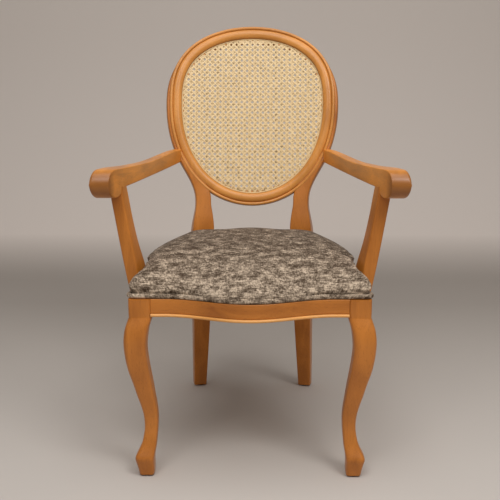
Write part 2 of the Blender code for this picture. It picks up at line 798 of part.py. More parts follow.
def build_rear_rail(rear_legs):
    middle = Vector((0.0, REAR_RAIL_Y + RAIL_THICK / 2, RAIL_MIDDLE))
    half = Vector((rear_rail_half(), 0.0, 0.0))
    rail = bar("rear_seat_rail", middle - half, middle + half, (0, 1, 0), RAIL_THICK, RAIL_HEIGHT, BEECH)
    longer = half + Vector((FIT, 0.0, 0.0))
    width, height = RAIL_THICK + 2 * FIT, RAIL_HEIGHT + 2 * FIT
    housing = bar("rear_rail_housing", middle - longer, middle + longer, (0, 1, 0), width, height)
    for name, side in SIDES:
        boolean(rear_legs[name], housing)
        tenon(f"rear_{name}", rail, [rear_legs[name]], middle + half * side, Vector((side, 0, 0)), (0, 1, 0))
    return rail


def prism(name, outline, low, high, material=None):
    """An outline drawn in plan, raised between two heights."""
    return loft(name, [[Vector((x, y, height)) for x, y in outline] for height in (low, high)], material)


def block_outline(end):
    """The plan of a right-hand corner block, notched round the leg's corner."""
    if end == "front":
        rail_y = FRONT_RAIL_Y + RAIL_THICK + FIT
        tip = inside_side_rail(BLOCK_FACE_Y + BLOCK_SHORT)
        corner = inside_side_rail(BLOCK_FACE_Y + FIT)
        return (
            (BLOCK_FACE_X - FIT - BLOCK_LONG, rail_y), (BLOCK_FACE_X - FIT, rail_y),
            (BLOCK_FACE_X - FIT, corner.y), (corner.x, corner.y), (tip.x, tip.y),
        )
    rail_y = REAR_RAIL_Y - FIT
    leg = between(REAR_LEG_STATIONS, RAIL_TOP - RAIL_HEIGHT)[0]
    along = leg_along(RAIL_TOP)
    faces = [back_point(across, along, -POST_SET_BACK).y for across in (leg, leg + RAIL_THICK)]
    front_y = min(faces) - 2 * HOLE_END
    start = inside_side_rail(front_y - BLOCK_LONG)
    corner = inside_side_rail(front_y)
    edge = between(REAR_LEG_STATIONS, RAIL_TOP)[0] - 2 * HOLE_END
    return (
        (start.x, start.y), (corner.x, corner.y), (edge, front_y),
        (edge, rail_y), (edge - BLOCK_SHORT, rail_y),
    )


def build_corner_blocks(front_rail, side_rails, rear_rail, board):
    """Four glued and screwed blocks that brace the frame and hold the seat board down."""
    high = RAIL_TOP - BLOCK_BELOW_TOP
    low = high - BLOCK_HEIGHT
    middle = (low + high) / 2
    for end, rail in (("front", front_rail), ("rear", rear_rail)):
        for name, side in SIDES:
            outline = [(x * side, y) for x, y in block_outline(end)]
            block = prism(f"corner_block_{end}_{name}", outline, low, high, BEECH)
            out = turned_to(SIDE_RAIL_OUT, side)
            deep = BLOCK_SHORT / 2
            if end == "front":
                seat = Vector((BLOCK_FACE_X - BLOCK_LONG / 2, FRONT_RAIL_Y + RAIL_THICK + deep, middle))
                ahead = Vector((0.0, -1.0, 0.0))
                hold = Vector((BLOCK_FACE_X - deep, BLOCK_FACE_Y - BLOCK_SHORT / 3, low))
                beside = side_rail_point(BLOCK_FACE_Y + BLOCK_SHORT * 0.7, -RAIL_THICK - deep, middle)
            else:
                edge = block_outline(end)[2]
                seat = Vector((edge[0] - deep, REAR_RAIL_Y - deep, middle))
                ahead = Vector((0.0, 1.0, 0.0))
                tip = block_outline(end)[0]
                hold = Vector((tip[0] - BLOCK_SHORT * 0.53, tip[1] + BLOCK_SHORT * 0.85, low))
                beside = side_rail_point(edge[1] - BLOCK_LONG * 0.42, -RAIL_THICK - deep, middle)
            sunk = turned_to(hold, side) + Vector((0, 0, SCREW_HEAD_HEIGHT))
            aside = turned_to(beside, side)
            screws = (
                ("block", "_1", turned_to(seat, side), ahead, rail, BLOCK_SCREW_LENGTH, BLOCK_LONG),
                ("block", "_2", aside, out, side_rails[name], BLOCK_SCREW_LENGTH, BLOCK_LONG),
                ("seat", "", sunk, (0, 0, 1), board, SEAT_SCREW_LENGTH, HOLE_END),
            )
            for use, number, place, direction, held, length, reach in screws:
                label = f"{use}_screw_{end}_{name}{number}"
                drive_screw(label, place, direction, length, [block, held], reach)


ARM_REAR_MIDDLE = ARM_REAR_TOP - ARM_REAR_DEPTH / 2


def ring_angle(along):
    """Where round the ring its right outer edge passes a place up the back's slope."""
    reach, power = (RING_LOWER, RING_LOWER_POWER) if along < RING_LOWER else (RING_UPPER, RING_UPPER_POWER)
    share = (along - RING_LOWER) / reach
    return math.copysign(math.asin(abs(share) ** (power / 2)), share)


def arm_rear():
    """The rear end of the right arm's inner face, against the stile beside the ring."""
    along = leg_along(ARM_REAR_MIDDLE)
    x = ring_edge(ring_angle(along)).x - ARM_SET_IN
    face = back_point(x + ARM_REAR_WIDTH / 2, along, -STILE_STRIP_BACK)
    return Vector((x, face.y + ARM_INTO_STILE))


ARM_REAR_X, ARM_REAR_Y = arm_rear()


def arm_splay():
    """The slope in plan that brings the arm from the stile over the top of its post."""
    _, step, shift, _, _ = ARM_POST_STATIONS[-1]
    post = side_rail_point(ARM_POST_Y + shift, step - ARM_POST_HOUSING)
    flare = max(ARM_FLARE_START - post.y, 0.0)
    over = post.x - ARM_POST_LIP - ARM_FLARE * flare * flare
    return (over - ARM_REAR_X) / (ARM_REAR_Y - post.y)


ARM_SPLAY = arm_splay()


def arm_inner_x(y):
    """The inner face of the right arm in plan: straight from the stile, then flaring to the scroll."""
    flare = max(ARM_FLARE_START - y, 0.0)
    return ARM_REAR_X + ARM_SPLAY * (ARM_REAR_Y - y) + ARM_FLARE * flare * flare


def arm_width(y):
    share = (ARM_REAR_Y - y) / (ARM_REAR_Y - ROLL_Y)
    swell = ARM_SWELL * smooth_step((ARM_FLARE_START - y) / (ARM_FLARE_START - ARM_NOTCH_Y))
    taper = SCROLL_TAPER * max(ARM_NOTCH_Y - y, 0.0)
    return ARM_REAR_WIDTH + (ARM_FRONT_WIDTH - ARM_REAR_WIDTH) * share + swell - taper


def arm_top(y):
    """The top edge: it falls from the stile to the level run and lifts again onto the scroll."""
    fall = smooth_step((y - ARM_LEVEL_Y) / (ARM_REAR_Y - ARM_LEVEL_Y))
    lift = smooth_step((ARM_LEVEL_Y - y) / (ARM_LEVEL_Y - ROLL_Y))
    rear_rise = ARM_REAR_TOP - ARM_LEVEL_TOP
    roll_rise = ROLL_Z + ROLL_HALF_HEIGHT - ARM_LEVEL_TOP
    return ARM_LEVEL_TOP + rear_rise * fall + roll_rise * lift


def arm_bottom(y):
    """The lower edge from the notch behind the scroll back to the stile."""
    share = (y - ARM_NOTCH_Y) / (ARM_REAR_Y - ARM_NOTCH_Y)
    rear = ARM_REAR_TOP - ARM_REAR_DEPTH
    sag = (share - share * share) * ARM_SAG
    return ARM_NOTCH_Z + (rear - ARM_NOTCH_Z) * share - sag


def arm_stations():
    """(y, low, high) along an arm, from the stile to the nose of the scroll."""
    end = ARM_REAR_Y + ARM_HOUSING
    runs = 10
    stations = []
    for i in range(runs + 1):
        y = end + (ARM_NOTCH_Y - end) * i / runs
        stations.append((y, arm_bottom(y), arm_top(y)))
    for degrees in SCROLL_TURNS:
        turn = math.radians(degrees)
        y = ROLL_Y + ROLL_HALF_LENGTH * math.cos(turn)
        low = ROLL_Z - ROLL_HALF_HEIGHT * math.sin(turn)
        high = ROLL_Z + ROLL_HALF_HEIGHT * math.sin(turn) if degrees >= 90 else arm_top(y)
        stations.append((y, low, high))
    return stations


def build_arm(name, side):
    """An arm sawn to its side profile, bent in plan and eased along its edges."""
    rings = []
    for y, low, high in arm_stations():
        inner = arm_inner_x(y)
        outer = inner + arm_width(y)
        small, large = (min(edge, (high - low) / 3) for edge in (ARM_INNER_EDGE, ARM_OUTER_EDGE))
        section = (
            (inner, high - small), (inner + small, high), (outer - large, high), (outer, high - large),
            (outer, low + large), (outer - large, low), (inner + small, low), (inner, low + small),
        )
        rings.append([Vector((side * x, y, z)) for x, z in section])
    return loft(f"arm_{name}", rings, BEECH)


def arm_housing(name, side, reach):
    """The room that the rear end of an arm takes in the stile."""
    rings = []
    for y in (ARM_REAR_Y - reach, ARM_REAR_Y + ARM_HOUSING + FIT):
        inner, outer = arm_inner_x(y) - FIT, arm_inner_x(y) + arm_width(y) + FIT
        low, high = arm_bottom(y) - FIT, arm_top(y) + FIT
        corners = ((inner, low), (outer, low), (outer, high), (inner, high))
        rings.append([Vector((side * x, y, z)) for x, z in corners])
    return loft(f"arm_housing_{name}", rings)


def arm_post_rings(side, grow):
    """Sections of an arm post, from its foot in the side rail up into the arm."""
    _, _, shift, _, depth = ARM_POST_STATIONS[0]
    rows = [(RAIL_TOP - ARM_POST_FOOT - grow, 0.0, shift, ARM_POST_FOOT_THICK, depth)]
    top = ARM_NOTCH_Z + ARM_POST_INTO_ARM + grow
    for share, *row in ARM_POST_STATIONS:
        rows.append((RAIL_TOP + (top - RAIL_TOP) * share, *row))
    rings = []
    for height, step, shift, thick, depth in rows:
        foot = side_rail_point(ARM_POST_Y + shift, step - ARM_POST_HOUSING, height)
        half = depth / 2 + grow
        ring = []
        for out, along in edged_section(-grow, thick + grow, -half, half, ARM_POST_EDGE):
            at = foot + SIDE_RAIL_OUT * out + SIDE_RAIL_RUN * along
            ring.append(Vector((side * at.x, at.y, height)))
        rings.append(ring)
    return rings


def build_arms(rear_legs, side_rails):
    """Arms, the posts that carry them, and their screws and plugs."""
    for name, side in SIDES:
        arm = build_arm(name, side)
        post = loft(f"arm_post_{name}", arm_post_rings(side, 0.0), BEECH)
        room = loft(f"arm_post_room_{name}", arm_post_rings(side, FIT))
        boolean(arm, room)
        boolean(side_rails[name], room)
        boolean(rear_legs[name], arm_housing(name, side, ARM_REAR_DEPTH))
        out = turned_to(SIDE_RAIL_OUT, side)
        for number, share in enumerate((-0.5, 0.5), 1):
            y = ARM_POST_Y + share * POST_SCREW_SPACING
            seat = side_rail_point(y, -RAIL_THICK + SCREW_HEAD_HEIGHT)
            label = f"arm_post_screw_{name}_{number}"
            place = turned_to(seat, side)
            drive_screw(label, place, out, POST_SCREW_LENGTH, [side_rails[name], post], HOLE_END)
        screw_arm(name, side, arm, rear_legs[name])


def screw_arm(name, side, arm, leg):
    """The screw through the stile into the end of the arm, and the plug that hides its head."""
    ahead = Vector((ARM_SPLAY, -1.0, 0.0)).normalized()
    middle = arm_inner_x(ARM_REAR_Y) + arm_width(ARM_REAR_Y) / 2
    start = Vector((middle, ARM_REAR_Y, ARM_REAR_MIDDLE))
    back = start - ahead * (ARM_HOUSING + STILE_UNDER_HEAD)
    direction = turned_to(ahead, side)
    seat = turned_to(back, side)
    drive_screw(f"arm_screw_{name}", seat, direction, ARM_SCREW_LENGTH, [leg, arm], PLUG_LENGTH)
    plug_front = seat - direction * (SCREW_HEAD_HEIGHT + 2 * FIT)
    rod(f"arm_plug_{name}", plug_front, -direction, PLUG_RADIUS, PLUG_LENGTH, BEECH)
    front = plug_front + direction * FIT
    radius = (PLUG_RADIUS + FIT) * FLAT_SIDE_ROOM
    room = rod(f"arm_plug_room_{name}", front, -direction, radius, 4 * PLUG_LENGTH)
    boolean(leg, room)


def rounded_outline(corners, edge_steps):
    """Points round a polygon of (corner, radius, arc steps): the same count for any size."""
    points = []
    count = len(corners)
    for i in range(count):
        here, radius, arc_steps = corners[i]
        before, (after, next_radius, _) = corners[i - 1][0], corners[(i + 1) % count]
        back, ahead = (before - here).normalized(), (after - here).normalized()
        half = back.angle(ahead) / 2
        reach = radius / math.tan(half)
        centre = here + (back + ahead).normalized() * (radius / math.sin(half))
        start, end = here + back * reach, here + ahead * reach
        for step in range(arc_steps + 1):
            spoke = (start - centre).lerp(end - centre, step / arc_steps).normalized()
            points.append(centre + spoke * radius)
        turn = (corners[(i + 2) % count][0] - after).normalized()
        next_start = after - ahead * (next_radius / math.tan((-ahead).angle(turn) / 2))
        for step in range(1, edge_steps[i]):
            points.append(end.lerp(next_start, step / edge_steps[i]))
    return points


def seat_side_x(y, inset):
    """The straight side of the seat's plan at a depth."""
    return side_rail_point(y, 0.0).x - inset / SIDE_RAIL_OUT.x


def notch_half(inset):
    """Half the length of the notch's floor, longer further in so that the notches run parallel."""
    turn = math.atan2(SEAT_NOTCH_DEPTH, SEAT_NOTCH_SLOPE)
    return SEAT_NOTCH_HALF + inset * math.tan(turn / 2)


def seat_outline(inset):
    """The plan of the seat, inset from the rails' outer faces: bowed in front, notched at the posts."""
    front = FRONT_RAIL_Y - FRONT_OVERHANG + inset
    rear = SEAT_REAR_Y - inset
    half = notch_half(inset)
    wide = half + SEAT_NOTCH_SLOPE
    plan = (
        (front, 0.0, SEAT_CORNER, 3),
        (SEAT_NOTCH_Y - wide, 0.0, SEAT_NOTCH_ROUND, 2),
        (SEAT_NOTCH_Y - half, SEAT_NOTCH_DEPTH, SEAT_NOTCH_ROUND, 2),
        (SEAT_NOTCH_Y + half, SEAT_NOTCH_DEPTH, SEAT_NOTCH_ROUND, 2),
        (SEAT_NOTCH_Y + wide, 0.0, SEAT_NOTCH_ROUND, 2),
        (rear, 0.0, SEAT_CORNER, 3),
    )
    right = [(Vector((seat_side_x(y, inset + cut), y)), radius, arc) for y, cut, radius, arc in plan]
    left = [(Vector((-place.x, place.y)), radius, arc) for place, radius, arc in reversed(right)]
    outline = rounded_outline(right + left, (2, 1, 2, 1, 4, 10, 4, 1, 2, 1, 2, 18))
    for point in outline:
        if point.y < front + HOLE_END:
            point.y -= front_bulge(point.x)
        elif point.y > rear - HOLE_END:
            point.y += rear_bulge(point.x)
    return outline


def without_notch(point, inset):
    """A point of the seat's plan, moved out to its straight side where the notch drew it in."""
    if abs(point.y - SEAT_NOTCH_Y) > notch_half(inset) + SEAT_NOTCH_SLOPE:
        return point
    return Vector((math.copysign(seat_side_x(point.y, inset), point.x), point.y))


COVER_FOOT_INSET = PIPING_INSET + 2 * PIPING_RADIUS + FIT


def seat_edge(y):
    """How high the side of the seat stands over the rails: low at the front corners, full at the rear."""
    share = (y - SEAT_EDGE_FRONT_Y) / (SEAT_EDGE_REAR_Y - SEAT_EDGE_FRONT_Y)
    short = 1 - min(max(share, 0.0), 1.0)
    return SEAT_EDGE_HEIGHT + SEAT_EDGE_RISE * (1 - short * short)


def swollen(point, share):
    """A point of the seat's plan, pushed out where the stuffing bellies between the post and the rear."""
    run = (point.y - SEAT_SWELL_FRONT_Y) / (SEAT_SWELL_REAR_Y - SEAT_SWELL_FRONT_Y)
    belly = SEAT_SIDE_SWELL * share * math.sin(math.pi * min(max(run, 0.0), 1.0))
    return Vector((point.x * (1 + belly / seat_side_x(point.y, 0.0)), point.y))


def seat_rings(shrink, drop, foot_heights, side_shares):
    """Rings up the side of the cushion and over its dome, drawn in and lowered for the notched foam."""
    low = RAIL_TOP + 2 * FIT
    cord = 2 * PIPING_RADIUS
    rings = []
    for height in foot_heights:
        rings.append([Vector((*p, height)) for p in seat_outline(COVER_FOOT_INSET + shrink)])
    for share in side_shares:
        inset = COVER_FOOT_INSET - (COVER_FOOT_INSET - SEAT_SIDE_INSET) * math.sin(math.pi / 2 * share)
        ring = []
        for point in seat_outline(inset + shrink):
            height = low + cord + (seat_edge(point.y) - cord) * share
            ring.append(Vector((*swollen(point, share), height)))
        rings.append(ring)
    rim = seat_outline(SEAT_SIDE_INSET + shrink)
    crown = Vector((0.0, SEAT_CROWN_Y))
    for reach in SEAT_DOME_STEPS:
        lift = (1 - reach ** SEAT_DOME_POWER) ** SEAT_DOME_EASE
        kept = 1.0 if shrink else reach ** SEAT_NOTCH_FADE
        ring = []
        for point in rim:
            place = without_notch(point, SEAT_SIDE_INSET).lerp(point, kept) if kept < 1 else point
            height = low + seat_edge(point.y) * (1 - lift) + SEAT_CROWN * lift - drop
            ring.append(Vector((*(crown + (swollen(place, 1.0) - crown) * reach), height)))
        rings.append(ring)
    return rings


def build_seat():
    """The board, foam, cover and piping that sit on the rails."""
    wall = COVER_FOOT_INSET + COVER_THICK + COVER_ROOM
    board_low = RAIL_TOP + FIT
    outline = seat_outline(wall)
    board = prism("seat_board", outline, board_low, board_low + BOARD_THICK, PLYWOOD)
    gap = COVER_THICK + COVER_ROOM
    loft("seat_foam", seat_rings(gap, gap, (board_low + BOARD_THICK + FIT,), ()), FOAM)
    foot = RAIL_TOP + 2 * FIT
    shell = loft_mesh(seat_rings(0.0, 0.0, (foot, foot + 2 * PIPING_RADIUS), (0.6, 1.0)))
    shell.faces.ensure_lookup_table()
    underside = [face for face in shell.faces if all(v.co.z < foot + FIT for v in face.verts)]
    bmesh.ops.delete(shell, geom=underside, context="FACES")
    bmesh.ops.recalc_face_normals(shell, faces=shell.faces)
    cover = add_object("seat_cover", shell, FABRIC)
    solid = cover.modifiers.new("cloth thickness", "SOLIDIFY")
    solid.thickness = COVER_THICK
    solid.offset = -1.0
    rings = []
    route = seat_outline(PIPING_INSET + PIPING_RADIUS)
    height = RAIL_TOP + PIPING_RADIUS + 2 * FIT
    for i, point in enumerate(route):
        heading = (route[(i + 1) % len(route)] - route[i - 1]).normalized()
        out = Vector((heading.y, -heading.x))
        ring = []
        for k in range(6):
            turn = math.tau * (k + 0.5) / 6
            place = point + out * PIPING_RADIUS * math.cos(turn)
            ring.append(Vector((place.x, place.y, height + PIPING_RADIUS * math.sin(turn))))
        rings.append(ring)
    loft("seat_piping", rings, FABRIC, cyclic=True)
    return board


def build_glides(front_legs, rear_legs):
    """Nail-on glides: a disc under each leg with a stem driven up into it."""
    places = []
    _, shift, _ = CABRIOLE_STATIONS[-1]
    _, inner, outer, depth = REAR_LEG_STATIONS[0]
    for name, side in SIDES:
        front = Vector((side * (FRONT_LEG_X + shift), FRONT_LEG_Y - shift, 0.0))
        rear = back_point((inner + outer) / 2, leg_along(GLIDE_HEIGHT), -POST_SET_BACK - depth / 2)
        places.append((f"front_glide_{name}", front, front_legs[name]))
        places.append((f"rear_glide_{name}", Vector((side * rear.x, rear.y, 0.0)), rear_legs[name]))
    top = GLIDE_HEIGHT - FIT
    for label, place, leg in places:
        profile = (
            (0.0, top + GLIDE_STEM_LENGTH),
            (GLIDE_STEM_RADIUS, top + GLIDE_STEM_LENGTH),
            (GLIDE_STEM_RADIUS, top),
            (GLIDE_RADIUS, top),
            (GLIDE_RADIUS, 0.0),
            (0.0, 0.0),
        )
        turned(label, profile, place, (0, 0, 1), NYLON, 16)
        depth = GLIDE_STEM_LENGTH + HOLE_END
        boolean(leg, rod(f"{label}_hole", place, (0, 0, 1), GLIDE_STEM_RADIUS + FIT, top + depth))


def centre_chair():
    """Moves the whole chair so that the origin is in the middle of its box."""
    bpy.context.view_layer.update()
    graph = bpy.context.evaluated_depsgraph_get()
    depths = []
    for piece in CHAIR.objects:
        if piece.type == "MESH":
            solid = piece.evaluated_get(graph)
            depths += [(solid.matrix_world @ Vector(corner)).y for corner in solid.bound_box]
    ROOT.location.y = -(min(depths) + max(depths)) / 2


def main():
    rear_legs = build_back()
    front_legs, front_rail, side_rails, rear_rail = build_seat_frame(rear_legs)
    board = build_seat()
    build_corner_blocks(front_rail, side_rails, rear_rail, board)
    build_arms(rear_legs, side_rails)
    build_glides(front_legs, rear_legs)
    centre_chair()


main()
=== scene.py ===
"""Dresses the frame of a dining armchair: moulded beech, woven cane, a domed seat and a plain studio."""

import json
import math
import random
from functools import cache

import bmesh
import bpy
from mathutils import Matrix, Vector
from mathutils.kdtree import KDTree

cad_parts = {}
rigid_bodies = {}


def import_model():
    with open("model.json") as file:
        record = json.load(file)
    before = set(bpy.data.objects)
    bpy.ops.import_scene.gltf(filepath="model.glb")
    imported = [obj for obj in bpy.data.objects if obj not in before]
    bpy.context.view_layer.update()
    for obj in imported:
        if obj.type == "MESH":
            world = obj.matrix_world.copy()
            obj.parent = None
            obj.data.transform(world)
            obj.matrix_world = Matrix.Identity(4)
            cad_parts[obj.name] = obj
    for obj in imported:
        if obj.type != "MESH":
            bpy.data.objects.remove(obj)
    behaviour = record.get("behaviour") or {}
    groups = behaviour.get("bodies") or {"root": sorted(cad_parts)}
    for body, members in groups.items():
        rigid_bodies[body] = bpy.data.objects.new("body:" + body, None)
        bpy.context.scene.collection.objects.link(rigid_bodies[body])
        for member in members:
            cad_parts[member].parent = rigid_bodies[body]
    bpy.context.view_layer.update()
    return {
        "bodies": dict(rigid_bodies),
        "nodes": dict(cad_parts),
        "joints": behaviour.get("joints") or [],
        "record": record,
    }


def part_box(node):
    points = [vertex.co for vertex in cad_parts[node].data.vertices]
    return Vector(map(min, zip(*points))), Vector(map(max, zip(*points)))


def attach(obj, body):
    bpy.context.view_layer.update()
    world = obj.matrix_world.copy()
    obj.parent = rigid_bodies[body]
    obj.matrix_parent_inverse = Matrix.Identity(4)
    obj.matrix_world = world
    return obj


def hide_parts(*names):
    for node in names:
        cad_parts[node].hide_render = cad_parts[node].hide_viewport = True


bl_info = {
    "name": "Dining armchair",
    "version": (1, 0, 0),
    "blender": (4, 5, 0),
    "location": "View3D > Sidebar > Armchair",
    "description": "Models the finished pieces of a dining armchair around its frame",
    "category": "Object",
}

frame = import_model()

# Sizes of the wood, in metres and radians, as in the frame where the frame has them
FIT = 0.0003
BACK_BOW_RADIUS = 0.70
BACK_RAKE = math.radians(13.0)
BACK_Y = 0.190
BACK_Z = 0.526
RING_HALF_WIDTH = 0.2110
RING_UPPER = 0.2045
RING_LOWER = 0.259
RING_UPPER_POWER = 2.55
RING_LOWER_POWER = 2.15
RING_THICK = 0.028
RING_EASE = 0.0025
UPPER_JOINT = math.radians(30.0)
LOWER_JOINT = math.radians(-60.0)
BEAD_WIDTH = 0.0075
BEAD_RISE = 0.0032
BEAD_DEPTH = 0.0058
BAND_WIDTH = 0.0225
BAND_RISE = 0.0068
BAND_DEPTH = 0.0070
RING_WIDTH = BEAD_WIDTH + BAND_WIDTH
MOULDING_QUIRK = 0.0004
LEDGE_WIDTH = 0.013
LEDGE_DEPTH = 0.0100
LEDGE_LIP = 0.0030
SPLINE_GROOVE = 0.0047
SPLINE_DEPTH = 0.0040
SPLINE_PROUD = 0.0012
REAR_LEG_STATIONS = (
    (0.004, 0.1285, 0.1620, 0.030),
    (0.100, 0.1208, 0.1593, 0.035),
    (0.200, 0.1130, 0.1560, 0.040),
    (0.300, 0.1065, 0.1543, 0.045),
    (0.360, 0.1030, 0.1530, 0.046),
    (0.430, 0.0985, 0.1515, 0.046),
    (0.470, 0.0965, 0.1495, 0.042),
    (0.500, 0.0995, 0.1453, 0.035),
    (0.526, 0.1040, 0.1420, 0.030),
)
REAR_LEG_SLOPE = 0.312
REAR_BEND_TOP = 0.500
REAR_BEND_BOTTOM = 0.360
POST_SET_BACK = 0.004
POST_EDGE = 0.0035
POST_INTO_RING = (
    ((0.1065, 0.030), (0.1445, 0.030)),
    ((0.1250, 0.066), (0.1550, 0.060)),
)
STILE_STRIP_START = math.radians(-37.0)
STILE_STRIP_SHORT = math.radians(2.0)
STILE_STRIP = 0.0055
STILE_STRIP_SWELL = 0.15
STILE_STRIP_FADE = 0.55
STILE_STRIP_SINK = 1.12
STILE_STRIP_BACK = 0.010
STILE_BITE = 0.012
STILE_BACK_STEP = 0.0012
RAIL_TOP = 0.3925
RAIL_HEIGHT = 0.0375
RAIL_THICK = 0.022
RAIL_HOUSING = 0.006
RAIL_EDGE = 0.0022
LEG_BLOCK = 0.045
FRONT_LEG_X = 0.2255
FRONT_LEG_Y = -0.245
SIDE_RAIL_REAR_X = 0.1575
SIDE_RAIL_REAR_Y = 0.172
REAR_RAIL_Y = 0.186
FRONT_RAIL_RECESS = 0.0035
FRONT_BULGE = 0.045
FRONT_BULGE_HALF = 0.175
RAIL_BEAD = 0.0035
RAIL_BEAD_FLAT = 0.92
RAIL_QUIRK = 0.0016
RAIL_ARRIS = 0.001
CABRIOLE_STATIONS = (
    (0.350, 0.0005, 0.0475),
    (0.330, 0.0068, 0.0478),
    (0.308, 0.0100, 0.0472),
    (0.286, 0.0104, 0.0455),
    (0.260, 0.0080, 0.0447),
    (0.235, 0.0041, 0.0430),
    (0.210, -0.0010, 0.0397),
    (0.180, -0.0065, 0.0362),
    (0.156, -0.0112, 0.0328),
    (0.130, -0.0148, 0.0297),
    (0.103, -0.0148, 0.0278),
    (0.080, -0.0120, 0.0295),
    (0.067, -0.0095, 0.0323),
    (0.055, -0.0056, 0.0360),
    (0.045, -0.0022, 0.0394),
    (0.038, -0.0017, 0.0394),
    (0.030, -0.0026, 0.0373),
    (0.016, -0.0042, 0.0341),
    (0.004, -0.0048, 0.0310),
)
CABRIOLE_ROUND = 0.22
BLOCK_ROUND = 0.10
BLOCK_EASE = 0.012
BLOCK_SWELL = 1.01
ARM_INTO_STILE = 0.0036
ARM_SET_IN = 0.0054
ARM_POST_LIP = 0.0005
ARM_FLARE = 0.35
ARM_FLARE_START = -0.120
ARM_FRONT_WIDTH = 0.037
ARM_SWELL = 0.013
SCROLL_TAPER = 0.17
ARM_REAR_WIDTH = 0.024
ARM_REAR_TOP = 0.667
ARM_REAR_DEPTH = 0.032
ARM_LEVEL_TOP = 0.652
ARM_LEVEL_Y = -0.050
ARM_NOTCH_Y = -0.182
ARM_NOTCH_Z = 0.6115
ROLL_Y = -0.2170
ROLL_Z = 0.6230
ROLL_HALF_LENGTH = 0.0345
ROLL_HALF_HEIGHT = 0.0293
ROLL_START = 26.0
ROLL_END = 176.0
ARM_INNER_EDGE = 0.0025
ARM_OUTER_EDGE = 0.0065
ARM_SAG = 0.004
ARM_POST_FOOT = 0.033
ARM_POST_INTO_ARM = 0.0055
ARM_POST_HOUSING = 0.015
ARM_POST_STATIONS = (
    (0.000, 0.0000, 0.004, 0.0280, 0.052),
    (0.116, 0.0060, 0.005, 0.0280, 0.054),
    (0.264, 0.0120, 0.002, 0.0285, 0.048),
    (0.463, 0.0205, -0.003, 0.0280, 0.038),
    (0.694, 0.0295, -0.006, 0.0275, 0.034),
    (0.880, 0.0365, -0.0065, 0.0275, 0.034),
    (1.000, 0.0394, -0.009, 0.0285, 0.030),
)
ARM_POST_FOOT_THICK = 0.0175
ARM_POST_Y = -0.178
ARM_POST_EDGE = 0.0035

# Sizes of the seat, its piping and its cloth
PIPING_RADIUS = 0.005
PIPING_INSET = -0.0010
SEAT_REAR_Y = 0.158
REAR_BULGE = 0.036
REAR_BULGE_HALF = 0.120
SEAT_CORNER = 0.0145
SEAT_EDGE_HEIGHT = 0.0130
SEAT_EDGE_RISE = 0.0560
SEAT_EDGE_BOW = 3.6
SEAT_EDGE_FRONT_Y = -0.275
SEAT_EDGE_REAR_Y = 0.100
SEAT_CROWN = 0.087
SEAT_SIDE_INSET = 0.0015
SEAT_SIDE_SWELL = 0.0105
SEAT_SWELL_FRONT_Y = -0.21
SEAT_SWELL_REAR_Y = 0.15
SEAT_DOME_POWER = 2.8
SEAT_DOME_EASE = 0.70
SEAT_CROWN_Y = 0.030
SEAT_NOTCH_Y = -0.175
SEAT_NOTCH_HALF = 0.029
SEAT_NOTCH_SLOPE = 0.017
SEAT_NOTCH_DEPTH = 0.0228
SEAT_NOTCH_ROUND = 0.007
SEAT_NOTCH_FADE = 40
CLOTH_FACE = 0.005
CLOTH_SLACK = 0.0015
CLOTH_PRESSURE = 4.0
CLOTH_FRAMES = 20
CLOTH_REACH = 0.002
# Where the cloth turns from painted light on the front face to painted shade over the top
CLOTH_LIT_FRONT_Y = -0.34
CLOTH_SHADED_REAR_Y = -0.10
COVER_FOOT_INSET = PIPING_INSET + 2 * PIPING_RADIUS + FIT
COVER_FOOT = 0.55
COVER_FOOT_RISE = 0.7

# The frame's origin is the middle of its box, so its pieces are shifted from the sizes above
SHIFT = Vector((0.0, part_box("rear_seat_rail")[0][1] - REAR_RAIL_Y, 0.0))
SIDES = (("left", -1), ("right", 1))
GLIDE_THICK = 0.0037
NAIL_RADIUS = 0.0016
SHARP_EDGE = 35
MERGE = 0.000002

# How often the wood's figure and pores repeat in a metre, and how deep the end grain of the arms is seen
FIGURE_ACROSS = 34.0
FIGURE_ALONG = 2.2
PORES_ACROSS = 620.0
PORES_ALONG = 55.0
END_GRAIN_START = 0.026
END_GRAIN_FULL = 0.006

# How the cane is woven, and where painted shade darkens it
CANE_THICK = 0.0005
CANE_LIFT = 0.0001
CANE_REACH = RING_WIDTH + SPLINE_GROOVE * 0.45
CANE_PRESS_START = 0.002
CANE_PRESS_RUN = 0.010
CANE_PAIR_GAP = 0.52
CANE_OFFSET = 0.1
CANE_SLANT_LIFT = 1.1
CANE_SLANT_WAVE = 0.45
CANE_RIM_POINTS = 720
CANE_SEED = 7
CANE_TONE_SPREAD = 0.14
# The pairs are darker than the slanting strands: painted shade where they lie under them
CANE_PAIR_SHADED_TONE = 0.58
CANE_SLANT_TONE = 0.74
# Painted shade on the four edge points of a strand beside the openings, by the side that faces them
CANE_EDGE_SHADE = {-1: (1.1, 0.6, 0.0, 0.0), 0: (0.30, 0.0, 0.0, 0.30), 1: (0.0, 0.0, 0.6, 1.1)}
SPLINE_TONE = 0.45
SPLINE_ROUND = 0.0006

